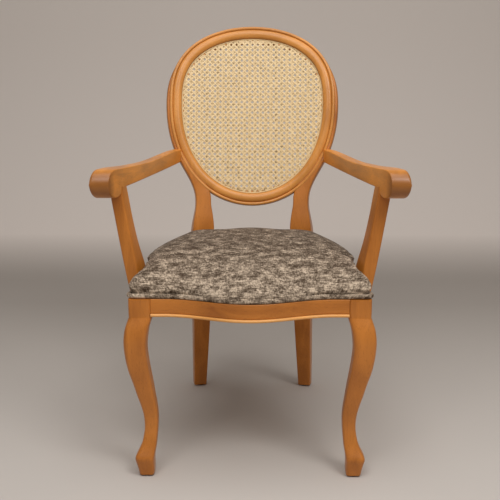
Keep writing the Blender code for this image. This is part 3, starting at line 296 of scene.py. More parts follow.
# The studio, as place, size and power of each lamp, and the paper's colours graded as painted light and
# shade: the floor darker far off, the wall lighter at its foot
LAMPS = (
    ("left softbox", (-0.6, -2.1, 2.5), 1.2, 16.5),
    ("right softbox", (1.1, -1.6, 2.3), 0.9, 20.0),
    ("top softbox", (0.0, -0.8, 2.8), 2.2, 34.5),
)
LAMP_AIM = Vector((0.0, 0.0, 0.5))
SKY_COLOUR = (1.0, 0.98, 0.95, 1.0)
SKY_STRENGTH = 0.27
WALL_FOOT_PAINTED_LIGHT = (0.80, 0.71, 0.645, 1.0)
WALL_HEAD_PAINTED_LIGHT = (0.74, 0.665, 0.605, 1.0)
FLOOR_FAR_PAINTED_SHADE = (0.40, 0.355, 0.317, 1.0)
FLOOR_NEAR_PAINTED_LIGHT = (0.57, 0.52, 0.475, 1.0)
WALL_LIGHT_FADE = (0.05, 1.5)
FLOOR_LIGHT_FADE = (1.2, -0.2)
SWEEP_FADE = (0.0, 0.12)
SWEEP_HALF_WIDTH = 7.0
SWEEP_LENGTH = 6.0
SWEEP_BEND_Y = 1.6
SWEEP_BEND = 1.2
CAMERA_LENS = 56.9
CAMERA_SENSOR = 36.0
CAMERA_PLACE = (0.019, -1.825, 0.792)
CAMERA_TURN = (math.radians(79.2), 0.0, math.radians(0.69))


def length(name, description, default):
    return bpy.props.FloatProperty(name=name, description=description, default=default, unit="LENGTH")


def tint(name, description, default):
    return bpy.props.FloatVectorProperty(
        name=name, description=description, default=default, subtype="COLOR",
    )


class ArmchairSizes(bpy.types.PropertyGroup):
    """Sizes that a user would change"""

    cane_pitch: length("Cane pitch", "Distance between the openings of the cane", 0.0136)
    strand_width: length("Strand width", "Width of one strand of cane", 0.0041)
    strand_rise: length("Strand rise", "How far a strand rises over those that it crosses", 0.0007)


class ArmchairFinishes(bpy.types.PropertyGroup):
    """Colours that a user would change"""

    beech_light: tint("Beech", "Main colour of the stained beech", (0.545, 0.187, 0.026))
    beech_dark: tint("Beech grain", "Colour of the darker grain", (0.330, 0.098, 0.011))
    # The ring's colours are paler than the legs': partly its own stain, partly painted highlight
    ring_light: tint("Ring", "Main colour of the paler ring", (0.68, 0.285, 0.060))
    ring_dark: tint("Ring grain", "Darker grain of the ring", (0.430, 0.160, 0.028))
    # The arms' colours are paler: partly their own stain, partly painted light from above
    arm_light: tint("Arms", "Main colour of the arms", (0.76, 0.290, 0.048))
    arm_dark: tint("Arm grain", "Darker grain and end grain of the arms", (0.360, 0.125, 0.022))
    # The bead's paler colours are a painted highlight along the bead
    bead_light: tint("Bead", "Painted highlight colour of the front rail's bead", (0.80, 0.39, 0.115))
    bead_dark: tint("Bead grain", "Darker grain of the front rail's bead", (0.62, 0.27, 0.065))
    cane_light: tint("Cane", "Colour of the pale strands", (0.82, 0.61, 0.335))
    cane_dark: tint("Cane shade", "Colour of the darker strands", (0.60, 0.40, 0.175))
    cloth_light: tint("Cloth", "Pale colour of the mottled cloth", (0.62, 0.485, 0.355))
    cloth_dark: tint("Cloth shade", "Dark colour of the mottled cloth", (0.060, 0.036, 0.020))


def sizes():
    return bpy.context.scene.armchair_sizes


def finishes():
    return bpy.context.scene.armchair_finishes


def smooth_step(value):
    value = min(max(value, 0.0), 1.0)
    return value * value * (3 - 2 * value)


def eased_rows(rows, steps):
    """Rows of numbers with a smooth curve drawn through them, in steps between each pair."""
    made = []
    for i in range(len(rows) - 1):
        before, here = rows[max(i - 1, 0)], rows[i]
        after, last = rows[i + 1], rows[min(i + 2, len(rows) - 1)]
        for step in range(steps):
            t = step / steps
            row = []
            for a, b, c, d in zip(before, here, after, last):
                slope = (2 * a - 5 * b + 4 * c - d) * t * t + (3 * b - a - 3 * c + d) * t * t * t
                row.append(b + 0.5 * ((c - a) * t + slope))
            made.append(row)
    made.append(list(rows[-1]))
    return made


def skin(rings, closed=False):
    """A grid rolled into a tube through rings of points. Its ends are filled, unless it closes on itself."""
    if closed:
        rings = rings + [rings[0]]
    along, around = len(rings) - 1, len(rings[0])
    bm = bmesh.new()
    grid = bmesh.ops.create_grid(bm, x_segments=along, y_segments=around, size=1.0)["verts"]
    for vert in grid:
        i = round((vert.co.x + 1) / 2 * along)
        j = round((vert.co.y + 1) / 2 * around)
        vert.co = Vector(rings[i][j % around]) + SHIFT
    bmesh.ops.remove_doubles(bm, verts=bm.verts, dist=MERGE)
    if not closed:
        rims = [edge for edge in bm.edges if edge.is_boundary]
        bmesh.ops.holes_fill(bm, edges=rims, sides=0)
    bmesh.ops.recalc_face_normals(bm, faces=bm.faces)
    return bm


def lofted(rings):
    """Makes a function that yields rings of points return the skin through them."""
    def build(*values):
        return skin(list(rings(*values)))

    return build


def new_object(name, bm, material, sharp=SHARP_EDGE):
    """A finished mesh in the scene."""
    mesh = bpy.data.meshes.new(name)
    bm.to_mesh(mesh)
    bm.free()
    made = bpy.data.objects.new(name, mesh)
    bpy.context.scene.collection.objects.link(made)
    mesh.materials.append(material)
    mesh.shade_smooth()
    mesh.set_sharp_from_angle(angle=math.radians(sharp))
    return made


def settle(piece, slot, *nodes):
    """Makes a piece part of the chair and lets it stand for its nodes."""
    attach(piece, "root")
    if nodes:
        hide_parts(*nodes)
    return piece


def apply_modifiers(piece):
    """Turns what a piece's modifiers make into its own mesh."""
    bpy.context.view_layer.update()
    graph = bpy.context.evaluated_depsgraph_get()
    piece.data = bpy.data.meshes.new_from_object(piece.evaluated_get(graph))
    piece.modifiers.clear()


def combined(first, second, operation):
    """Joins a second solid into the first one, or cuts it out."""
    cut = first.modifiers.new("combine", "BOOLEAN")
    cut.operation = operation
    cut.solver = "EXACT"
    cut.material_mode = "TRANSFER"
    cut.object = second
    apply_modifiers(first)
    first.data.shade_smooth()
    first.data.set_sharp_from_angle(angle=math.radians(SHARP_EDGE))
    bpy.data.objects.remove(second, do_unlink=True)


def soft_section(left, right, low, high, radii, steps=4):
    """A rectangle with round corners, as (across, up). Radii run from the left top corner clockwise."""
    corners = (
        (left, high, 180, 1, -1), (right, high, 90, -1, -1), (right, low, 0, -1, 1), (left, low, -90, 1, 1),
    )
    points = []
    for (x, y, start, step_x, step_y), radius in zip(corners, radii):
        for i in range(steps + 1):
            turn = math.radians(start - 90 * i / steps)
            points.append((
                x + step_x * radius + radius * math.cos(turn),
                y + step_y * radius + radius * math.sin(turn),
            ))
    return points


def spine_y(height):
    """Where the middle of the back's face lies at a height."""
    rake = math.tan(BACK_RAKE)
    if height >= REAR_BEND_TOP:
        return BACK_Y + (height - BACK_Z) * rake
    top_y = BACK_Y + (REAR_BEND_TOP - BACK_Z) * rake
    run = REAR_BEND_TOP - REAR_BEND_BOTTOM
    drop = min(REAR_BEND_TOP - height, run)
    bend_y = top_y - rake * drop + (rake + REAR_LEG_SLOPE) * drop * drop / (2 * run)
    return bend_y + REAR_LEG_SLOPE * max(REAR_BEND_BOTTOM - height, 0.0)


def back_point(across, along, forward):
    """A point of the bowed back: across it, up its slope from the ring's foot, and ahead of its face."""
    angle = across / BACK_BOW_RADIUS
    out = BACK_BOW_RADIUS - (BACK_BOW_RADIUS - forward) * math.cos(angle)
    height = BACK_Z + along * math.cos(BACK_RAKE)
    share = smooth_step((height - REAR_BEND_BOTTOM) / (BACK_Z - REAR_BEND_BOTTOM))
    tilt = BACK_RAKE * share
    return Vector((
        (BACK_BOW_RADIUS - forward) * math.sin(angle),
        spine_y(height) - out * math.cos(tilt),
        height + out * math.sin(tilt) * share,
    ))


def ring_edge(angle):
    """(across, along) on the ring's outer edge, from the right side round over the top."""
    upper = math.sin(angle) >= 0
    power = 2 / (RING_UPPER_POWER if upper else RING_LOWER_POWER)
    reach = RING_UPPER if upper else RING_LOWER
    across = math.cos(angle) * RING_HALF_WIDTH
    rise = math.copysign(abs(math.sin(angle)) ** power, math.sin(angle)) * reach
    return Vector((across, RING_LOWER + rise))


def ring_inward(angle):
    """The direction from the ring's outer edge towards its opening."""
    step = 0.002
    along = ring_edge(angle + step) - ring_edge(angle - step)
    return Vector((-along.y, along.x)).normalized()


def ring_point(angle, inward, forward):
    place = ring_edge(angle) + ring_inward(angle) * inward
    return back_point(place.x, place.y, forward)


def round_moulding(start, end, depth, rise, count):
    """Points of a round moulding between two widths."""
    points = []
    for i in range(count):
        turn = math.pi * i / (count - 1)
        width = (start + end) / 2 - (end - start) / 2 * math.cos(turn)
        points.append((width, -depth + rise * math.sin(turn)))
    return points


def ring_section():
    """(inward, forward) round the ring's section: back edges, bead, band and the ledge for the cane."""
    ease = RING_EASE
    return (
        [(ease, -RING_THICK), (ease * 0.3, -RING_THICK + ease * 0.3), (0.0, -RING_THICK + ease)]
        + round_moulding(0.0, BEAD_WIDTH, BEAD_DEPTH, BEAD_RISE, 9)
        + round_moulding(BEAD_WIDTH + MOULDING_QUIRK, RING_WIDTH, BAND_DEPTH, BAND_RISE, 17)
        + [
            (RING_WIDTH, -LEDGE_DEPTH - SPLINE_DEPTH),
            (RING_WIDTH + SPLINE_GROOVE, -LEDGE_DEPTH - SPLINE_DEPTH),
            (RING_WIDTH + SPLINE_GROOVE, -LEDGE_DEPTH),
            (RING_WIDTH + SPLINE_GROOVE + LEDGE_LIP, -LEDGE_DEPTH),
            (RING_WIDTH + LEDGE_WIDTH - ease, -RING_THICK + ease),
            (RING_WIDTH + LEDGE_WIDTH - 2 * ease, -RING_THICK),
        ]
    )


@lofted
def ring_segment(start, end, steps):
    """A run of the ring from one joint to the next."""
    trim = FIT / 2 / RING_HALF_WIDTH
    first, last = start + trim, end - trim
    section = ring_section()
    for i in range(steps + 1):
        angle = first + (last - first) * i / steps
        yield [ring_point(angle, inward, forward) for inward, forward in section]


def stile_stations():
    """Inner and outer edge, back and front of a rear leg from the floor up along the ring."""
    rows = []
    for height, inner, outer, depth in REAR_LEG_STATIONS:
        along = (height - BACK_Z) / math.cos(BACK_RAKE)
        rows.append((inner, along, outer, along, -POST_SET_BACK - depth, -POST_SET_BACK))
    back = -RING_THICK + STILE_BACK_STEP
    for inner, outer in POST_INTO_RING:
        rows.append((*inner, *outer, back, -POST_SET_BACK))
    steps = 12
    last = UPPER_JOINT - STILE_STRIP_SHORT
    for i in range(steps + 1):
        share = i / steps
        angle = STILE_STRIP_START + (last - STILE_STRIP_START) * share
        swell = 1 + STILE_STRIP_SWELL * (1 - smooth_step(share * 4))
        sink = STILE_STRIP_SINK * smooth_step((share - STILE_STRIP_FADE) / (1 - STILE_STRIP_FADE))
        strip = STILE_STRIP * swell * (1 - sink)
        front = -POST_SET_BACK - (STILE_STRIP_BACK - POST_SET_BACK) * smooth_step(share * 3)
        inner = ring_edge(angle) + ring_inward(angle) * STILE_BITE
        outer = ring_edge(angle) - ring_inward(angle) * strip
        rows.append((*inner, *outer, back, front))
    return rows


@lofted
def stile(side):
    """A rear leg with its post and the strip beside the ring, without the ring's own moulding."""
    for inner_x, inner_y, outer_x, outer_y, back, front in eased_rows(stile_stations(), 4):
        inner, outer = Vector((inner_x, inner_y)), Vector((outer_x, outer_y))
        run = outer - inner
        ring = []
        for reach, forward in soft_section(0.0, run.length, back, front, (POST_EDGE,) * 4):
            place = inner + run.normalized() * reach
            point = back_point(place.x, place.y, forward)
            ring.append(Vector((side * point.x, point.y, point.z)))
        yield ring


def spun_disc(place, profile, segments=40):
    """A turned piece on an upright axis. The profile is (radius, height) from its axis and back to it."""
    bm = bmesh.new()
    verts = [bm.verts.new((radius, 0.0, height)) for radius, height in profile]
    edges = [bm.edges.new(pair) for pair in zip(verts, verts[1:])]
    bmesh.ops.spin(
        bm, geom=verts + edges, cent=(0, 0, 0), axis=(0, 0, 1),
        angle=math.tau, steps=segments, use_merge=True,
    )
    bmesh.ops.remove_doubles(bm, verts=bm.verts, dist=MERGE)
    bmesh.ops.recalc_face_normals(bm, faces=bm.faces)
    bmesh.ops.translate(bm, verts=bm.verts, vec=place)
    return bm


class Shades:
    """Adds nodes to a material, one line each."""

    def __init__(self, name):
        self.material = bpy.data.materials.new(name)
        self.material.use_nodes = True
        self.tree = self.material.node_tree
        self.shader = self.tree.nodes["Principled BSDF"]

    def add(self, kind, links=None, **values):
        node = self.tree.nodes.new(kind)
        for key, value in values.items():
            setattr(node, key, value)
        for socket, source in (links or {}).items():
            self.put(node, socket, source)
        return node

    def put(self, node, socket, source):
        if isinstance(source, bpy.types.NodeSocket):
            self.tree.links.new(source, node.inputs[socket])
        else:
            node.inputs[socket].default_value = source

    def finish(self, **sockets):
        for socket, source in sockets.items():
            self.put(self.shader, socket.replace("_", " "), source)
        return self.material

    def objects(self, scale=(1, 1, 1), turn=(0, 0, 0)):
        place = self.add("ShaderNodeTexCoord").outputs["Object"]
        mapping = self.add("ShaderNodeMapping", {"Vector": place, "Rotation": turn, "Scale": scale})
        return mapping.outputs["Vector"]

    def noise(self, vector, scale, detail=3.0, rough=0.55, distortion=0.0):
        node = self.add("ShaderNodeTexNoise", {
            "Vector": vector, "Scale": scale, "Detail": detail, "Roughness": rough, "Distortion": distortion,
        })
        return node.outputs["Fac"]

    def ramp(self, factor, *stops):
        node = self.add("ShaderNodeValToRGB", {"Fac": factor})
        marks = node.color_ramp.elements
        for mark, (place, colour) in zip(marks, stops):
            mark.position = place
            mark.color = (*colour, 1.0)
        for place, colour in stops[2:]:
            marks.new(place).color = (*colour, 1.0)
        return node.outputs["Color"]

    def spread(self, value, low, high, new_low, new_high):
        node = self.add("ShaderNodeMapRange", {
            "Value": value, "From Min": low, "From Max": high, "To Min": new_low, "To Max": new_high,
        })
        return node.outputs["Result"]

    def math(self, operation, a, b):
        return self.add("ShaderNodeMath", {0: a, 1: b}, operation=operation).outputs["Value"]

    def mix(self, factor, a, b, blend="MIX"):
        node = self.add("ShaderNodeMix", data_type="RGBA", blend_type=blend)
        for socket, source in ((0, factor), (6, a), (7, b)):
            self.put(node, socket, source)
        return node.outputs[2]

    def bump(self, height, strength, distance):
        node = self.add("ShaderNodeBump", {"Height": height, "Strength": strength, "Distance": distance})
        return node.outputs["Normal"]


@cache
def beech(axis, turn=(0.0, 0.0, 0.0), stain="beech"):
    """Stained beech with its grain along an axis. The ring's and the arms' colours are partly a paler stain
    and partly painted highlight; the bead's are a painted highlight.
    """
    light = tuple(getattr(finishes(), f"{stain}_light"))
    dark = tuple(getattr(finishes(), f"{stain}_dark"))
    heading = round(math.degrees(turn[2]))
    make = Shades(f"{stain}_{axis}_{heading}")
    coarse = [FIGURE_ACROSS] * 3
    fine = [PORES_ACROSS] * 3
    coarse["xyz".index(axis)] = FIGURE_ALONG
    fine["xyz".index(axis)] = PORES_ALONG
    broad = make.noise(make.objects((1, 1, 1), turn), 7.0, 2.0)
    figure = make.noise(make.objects(coarse, turn), 1.0, 5.0, 0.6, 0.6)
    pores = make.noise(make.objects(fine, turn), 1.0, 2.0, 0.5)
    base = make.ramp(figure, (0.30, dark), (0.68, light))
    pale = tuple(min(value * 1.16, 1.0) for value in light)
    base = make.mix(make.spread(broad, 0.35, 0.70, 0.0, 0.55), base, (*pale, 1.0))
    flecks = make.spread(pores, 0.56, 0.70, 0.0, 0.30)
    deep = tuple(value * 0.72 for value in dark)
    base = make.mix(flecks, base, (*deep, 1.0))
    if stain == "arm":
        ahead = make.add("ShaderNodeSeparateXYZ", {"Vector": make.objects()}).outputs["Y"]
        nose = ROLL_Y + SHIFT.y - ROLL_HALF_LENGTH
        end_grain = make.spread(ahead, nose + END_GRAIN_START, nose + END_GRAIN_FULL, 0.0, 0.85)
        base = make.mix(end_grain, base, (*deep, 1.0))
    return make.finish(
        Base_Color=base,
        Roughness=make.spread(figure, 0.3, 0.7, 0.30, 0.42),
        Normal=make.bump(pores, 0.06, 0.0004),
        Specular_IOR_Level=0.35,
        Coat_Weight=0.20,
        Coat_Roughness=0.22,
    )


@cache
def cane_finish():
    """Split cane: glossy straw with a tone of its own on each strand, and painted shade on the lower pairs
    and beside the openings.
    """
    colours = finishes()
    make = Shades("cane_finish")
    tone = make.add("ShaderNodeAttribute", attribute_name="tone").outputs["Fac"]
    streak = make.noise(make.objects(), 160.0, 3.0)
    value = make.math("ADD", make.math("MULTIPLY", tone, 0.8), make.math("MULTIPLY", streak, 0.4))
    dark = tuple(colours.cane_dark)
    # The darkest stop is painted shade for the strands' edges beside the openings
    shade = tuple(channel * 0.40 for channel in dark)
    base = make.ramp(value, (0.0, shade), (0.95, tuple(colours.cane_light)), (0.26, dark))
    return make.finish(
        Base_Color=base,
        Roughness=make.spread(streak, 0.3, 0.7, 0.38, 0.52),
        Normal=make.bump(streak, 0.08, 0.0003),
    )


@cache
def cloth_finish():
    """Mottled cloth with crossed streaks, drawn on the cover's own flat plan, lighter on the front face and
    darker over the top as painted light and shade.
    """
    colours = finishes()
    light, dark = tuple(colours.cloth_light), tuple(colours.cloth_dark)
    make = Shades("cloth_finish")
    plan = make.add("ShaderNodeAttribute", attribute_name="cloth").outputs["Vector"]

    def stretched(x, y):
        return make.add("ShaderNodeMapping", {"Vector": plan, "Scale": (x, y, 1.0)}).outputs["Vector"]

    def swing(vector, scale, detail, reach):
        """Noise spread about zero, so that several can be added."""
        return make.spread(make.noise(vector, scale, detail, 0.6), 0.34, 0.66, -reach, reach)

    cloud = swing(stretched(1, 1.2), 34.0, 6.0, 0.36)
    weft = swing(stretched(60, 260), 1.0, 3.0, 0.26)
    warp = swing(stretched(260, 100), 1.0, 2.0, 0.22)
    speck = make.noise(stretched(1, 1), 620.0, 2.0, 0.6)
    crack = make.math("SUBTRACT", make.noise(stretched(1, 1), 85.0, 3.0, 0.6), 0.5)
    vein = make.spread(make.math("ABSOLUTE", crack, 0.0), 0.0, 0.06, -0.24, 0.06)
    value = make.math("ADD", make.math("ADD", cloud, weft), make.math("ADD", warp, vein))
    # Painted light and shade: the cloth lighter on the front face and darker over the top
    front = make.add("ShaderNodeSeparateXYZ", {"Vector": plan}).outputs["Y"]
    value = make.math("ADD", value, make.spread(front, CLOTH_LIT_FRONT_Y, CLOTH_SHADED_REAR_Y, 0.56, 0.32))
    middle = tuple((a * 0.32 + b * 0.68) for a, b in zip(light, dark))
    base = make.ramp(value, (0.04, dark), (0.98, light), (0.50, middle))
    threads = {"Vector": plan, "Scale": 330.0, "Distortion": 0.6}
    thread_x = make.add("ShaderNodeTexWave", threads)
    thread_y = make.add("ShaderNodeTexWave", threads, bands_direction="Y")
    weave = make.math("MULTIPLY", thread_x.outputs["Fac"], thread_y.outputs["Fac"])
    height = make.math("ADD", weave, speck)
    return make.finish(
        Base_Color=base,
        Roughness=0.88,
        Normal=make.bump(height, 0.35, 0.0006),
        Specular_IOR_Level=0.2,
        Sheen_Weight=0.05,
        Sheen_Roughness=0.5,
    )


@cache
def grained_finish(title, stretch, scale, detail, dark, light, rough, metallic=0.0):
    """A plain finish whose colour and gloss vary a little."""
    make = Shades(title)
    grain = make.noise(make.objects(stretch), scale, detail)
    base = make.ramp(grain, (0.3, dark), (0.7, light))
    gloss = make.spread(grain, 0.3, 0.7, *rough)
    return make.finish(Base_Color=base, Metallic=metallic, Roughness=gloss)


def nylon_finish():
    dark, light = (0.020, 0.018, 0.016), (0.040, 0.036, 0.032)
    return grained_finish("nylon_finish", (1, 1, 1), 900.0, 2.0, dark, light, (0.42, 0.58))


def steel_finish():
    dark, light = (0.40, 0.40, 0.39), (0.58, 0.58, 0.56)
    return grained_finish("zinc_steel_finish", (1, 1, 8), 300.0, 3.0, dark, light, (0.28, 0.45), 1.0)


@cache
def plywood_finish():
    make = Shades("plywood_finish")
    figure = make.noise(make.objects((3.0, 40.0, 40.0)), 1.0, 5.0, 0.6, 0.8)
    base = make.ramp(figure, (0.3, (0.42, 0.27, 0.13)), (0.7, (0.58, 0.42, 0.24)))
    return make.finish(Base_Color=base, Roughness=0.7, Normal=make.bump(figure, 0.1, 0.0005))


def side_rail_geometry():
    """Front and rear end of the right side rail's outer face, its direction and its outward normal."""
    middle = RAIL_TOP - RAIL_HEIGHT / 2
    front = Vector((FRONT_LEG_X + LEG_BLOCK / 2, FRONT_LEG_Y + LEG_BLOCK / 2, middle))
    rear = Vector((SIDE_RAIL_REAR_X, SIDE_RAIL_REAR_Y, middle))
    run = (rear - front).normalized()
    return front, rear, run, Vector((run.y, -run.x, 0.0))


RAIL_FRONT, RAIL_REAR, RAIL_RUN, RAIL_OUT = side_rail_geometry()


def side_rail_x(y):
    """The outer face of the right side rail at a depth."""
    share = (y - RAIL_FRONT.y) / (RAIL_REAR.y - RAIL_FRONT.y)
    return RAIL_FRONT.lerp(RAIL_REAR, share).x


def bulge(x, depth, half):
    """A round swelling across the middle of the chair."""
    if abs(x) >= half:
        return 0.0
    return depth * (1 + math.cos(math.pi * x / half)) / 2


@lofted
def front_rail():
    """The serpentine front rail with a bead along its lower edge."""
    low, high = RAIL_TOP - RAIL_HEIGHT, RAIL_TOP
    face = FRONT_LEG_Y - LEG_BLOCK / 2 + FRONT_RAIL_RECESS
    section = [
        (RAIL_THICK, low), (RAIL_THICK, high), (RAIL_ARRIS, high), (0.0, high - RAIL_ARRIS),
        (0.0, low + 2 * RAIL_BEAD + RAIL_QUIRK), (RAIL_QUIRK, low + 2 * RAIL_BEAD),
    ]
    for i in range(9):
        turn = math.pi * (0.5 - i / 8)
        rise = RAIL_BEAD * math.sin(turn) * RAIL_BEAD_FLAT
        section.append((-RAIL_BEAD * math.cos(turn), low + RAIL_BEAD + rise))
    half = FRONT_LEG_X - LEG_BLOCK / 2 - FIT
    steps = 96
    for i in range(steps + 1):
        x = -half + 2 * half * i / steps
        y = face - bulge(x, FRONT_BULGE, FRONT_BULGE_HALF)
        yield [Vector((x, y + depth, height)) for depth, height in section]


@lofted
def side_rail(side):
    """A straight side rail with eased edges."""
    start, end = RAIL_FRONT.y + FIT, SIDE_RAIL_REAR_Y + RAIL_HOUSING
    section = soft_section(-RAIL_THICK, 0.0, RAIL_TOP - RAIL_HEIGHT, RAIL_TOP, (RAIL_EDGE,) * 4)
    steps = 8
    for i in range(steps + 1):
        y = start + (end - start) * i / steps
        face = side_rail_x(y)
        yield [Vector((side * (face + out / RAIL_OUT.x), y, height)) for out, height in section]


@lofted
def rear_rail():
    """The straight rear rail with eased edges."""
    low, high = (Vector(corner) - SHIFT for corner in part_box("rear_seat_rail"))
    section = soft_section(low.y, high.y, low.z, high.z, (RAIL_EDGE,) * 4)
    steps = 6
    for i in range(steps + 1):
        x = low.x + (high.x - low.x) * i / steps
        yield [Vector((x, y, z)) for y, z in section]


@lofted
def cabriole_leg(side):
    """A front leg from its square block down to the pad foot."""
    foot = RAIL_TOP - RAIL_HEIGHT
    rows = [
        (RAIL_TOP, 0.0, LEG_BLOCK, BLOCK_ROUND),
        (foot + BLOCK_EASE, 0.0, LEG_BLOCK, BLOCK_ROUND),
        (foot, 0.0, LEG_BLOCK * BLOCK_SWELL, (BLOCK_ROUND + CABRIOLE_ROUND) / 2),
    ]
    rows += [(*station, CABRIOLE_ROUND) for station in CABRIOLE_STATIONS]
    for height, shift, width, softness in eased_rows(rows, 4):
        half, corner = width / 2, width * softness
        out, back = FRONT_LEG_X + shift, FRONT_LEG_Y - shift
        section = soft_section(-half, half, -half, half, (corner,) * 4, 6)
        yield [Vector((side * (out + x), back + y, height)) for x, y in section]


def arm_rear():
    """The rear end of the right arm's inner face, against the stile beside the ring."""
    along = (ARM_REAR_TOP - ARM_REAR_DEPTH / 2 - BACK_Z) / math.cos(BACK_RAKE)
    share = (RING_LOWER - along) / RING_LOWER
    x = ring_edge(-math.asin(share ** (RING_LOWER_POWER / 2))).x - ARM_SET_IN
    face = back_point(x + ARM_REAR_WIDTH / 2, along, -STILE_STRIP_BACK)
    return Vector((x, face.y + ARM_INTO_STILE))


ARM_REAR_X, ARM_REAR_Y = arm_rear()


def arm_splay():
    """The slope in plan that brings the arm from the stile over the top of its post."""
    _, step, shift, _, _ = ARM_POST_STATIONS[-1]
    y = ARM_POST_Y + shift
    post = Vector((side_rail_x(y), y, RAIL_TOP)) + RAIL_OUT * (step - ARM_POST_HOUSING)
    flare = max(ARM_FLARE_START - post.y, 0.0)
    over = post.x - ARM_POST_LIP - ARM_FLARE * flare * flare
    return (over - ARM_REAR_X) / (ARM_REAR_Y - post.y)


ARM_SPLAY = arm_splay()


def arm_inner_x(y):
    """The inner face of the right arm in plan."""
    flare = max(ARM_FLARE_START - y, 0.0)
    return ARM_REAR_X + ARM_SPLAY * (ARM_REAR_Y - y) + ARM_FLARE * flare * flare


def arm_width(y):
    share = (ARM_REAR_Y - y) / (ARM_REAR_Y - ROLL_Y)
    swell = ARM_SWELL * smooth_step((ARM_FLARE_START - y) / (ARM_FLARE_START - ARM_NOTCH_Y))
    taper = SCROLL_TAPER * max(ARM_NOTCH_Y - y, 0.0)
    return ARM_REAR_WIDTH + (ARM_FRONT_WIDTH - ARM_REAR_WIDTH) * share + swell - taper


def arm_top(y):
    """The arm's top edge: a fall from the stile, a level run and a lift onto the scroll."""
    fall = smooth_step((y - ARM_LEVEL_Y) / (ARM_REAR_Y - ARM_LEVEL_Y))
    lift = smooth_step((ARM_LEVEL_Y - y) / (ARM_LEVEL_Y - ROLL_Y))
    rear_rise = ARM_REAR_TOP - ARM_LEVEL_TOP
    roll_rise = ROLL_Z + ROLL_HALF_HEIGHT - ARM_LEVEL_TOP
    return ARM_LEVEL_TOP + rear_rise * fall + roll_rise * lift


def arm_bottom(y):
    """The arm's lower edge from the notch behind the scroll back to the stile."""
    share = (y - ARM_NOTCH_Y) / (ARM_REAR_Y - ARM_NOTCH_Y)
    rear = ARM_REAR_TOP - ARM_REAR_DEPTH
    return ARM_NOTCH_Z + (rear - ARM_NOTCH_Z) * share - (share - share * share) * ARM_SAG


@lofted
def scroll_arm(side):
    """An arm from the stile to the nose of its scroll."""
    stations = []
    runs, turns = 36, 40
    for i in range(runs + 1):
        y = ARM_REAR_Y + (ARM_NOTCH_Y - ARM_REAR_Y) * i / runs
        stations.append((y, arm_bottom(y), arm_top(y)))
    for i in range(turns + 1):
        degrees = ROLL_START + (ROLL_END - ROLL_START) * i / turns
        turn = math.radians(degrees)
        y = ROLL_Y + ROLL_HALF_LENGTH * math.cos(turn)
        low = ROLL_Z - ROLL_HALF_HEIGHT * math.sin(turn)
        high = ROLL_Z + ROLL_HALF_HEIGHT * math.sin(turn) if degrees >= 90 else arm_top(y)
        stations.append((y, low, high))
    for y, low, high in stations:
        inner = arm_inner_x(y)
        most = (high - low) * 0.45
        small, large = min(ARM_INNER_EDGE, most), min(ARM_OUTER_EDGE, most)
        section = soft_section(inner, inner + arm_width(y), low, high, (small, large, large, small), 5)
        yield [Vector((side * x, y, z)) for x, z in section]


@lofted
def arm_post(side, grow=0.0):
    """A curved post from its foot in the side rail up into the arm."""
    _, _, shift, _, depth = ARM_POST_STATIONS[0]
    rows = [(RAIL_TOP - ARM_POST_FOOT - grow, 0.0, shift, ARM_POST_FOOT_THICK, depth)]
    top = ARM_NOTCH_Z + ARM_POST_INTO_ARM
    for share, *row in ARM_POST_STATIONS:
        rows.append((RAIL_TOP + (top - RAIL_TOP) * share, *row))
    for height, step, shift, thick, depth in eased_rows(rows, 6):
        y = ARM_POST_Y + shift
        foot = Vector((side_rail_x(y), y, height)) + RAIL_OUT * (step - ARM_POST_HOUSING)
        half = depth / 2 + grow
        ring = []
        for out, along in soft_section(-grow, thick + grow, -half, half, (ARM_POST_EDGE,) * 4):
            at = foot + RAIL_OUT * out + RAIL_RUN * along
            ring.append(Vector((side * at.x, at.y, height)))
        yield ring


def rounded_outline(corners, edge_steps):
    """Points round a polygon of (corner, radius, arc steps): the same count for any size."""
    points = []
    count = len(corners)
    for i in range(count):
        here, radius, arc_steps = corners[i]
        before, (after, next_radius, _) = corners[i - 1][0], corners[(i + 1) % count]
        back, ahead = (before - here).normalized(), (after - here).normalized()
        half = back.angle(ahead) / 2
        reach = radius / math.tan(half)
        centre = here + (back + ahead).normalized() * (radius / math.sin(half))
        start, end = here + back * reach, here + ahead * reach
        for step in range(arc_steps + 1):
            spoke = (start - centre).lerp(end - centre, step / arc_steps).normalized()
            points.append(centre + spoke * radius)
        turn = (corners[(i + 2) % count][0] - after).normalized()
        next_start = after - ahead * (next_radius / math.tan((-ahead).angle(turn) / 2))
        for step in range(1, edge_steps[i]):
            points.append(end.lerp(next_start, step / edge_steps[i]))
    return points


def seat_side_x(y, inset):
    """The straight side of the seat's plan at a depth."""
    return side_rail_x(y) - inset / RAIL_OUT.x


def notch_half(inset):
    """Half the length of the notch's floor, longer further in so that the notches run parallel."""
    turn = math.atan2(SEAT_NOTCH_DEPTH, SEAT_NOTCH_SLOPE)
    return SEAT_NOTCH_HALF + inset * math.tan(turn / 2)


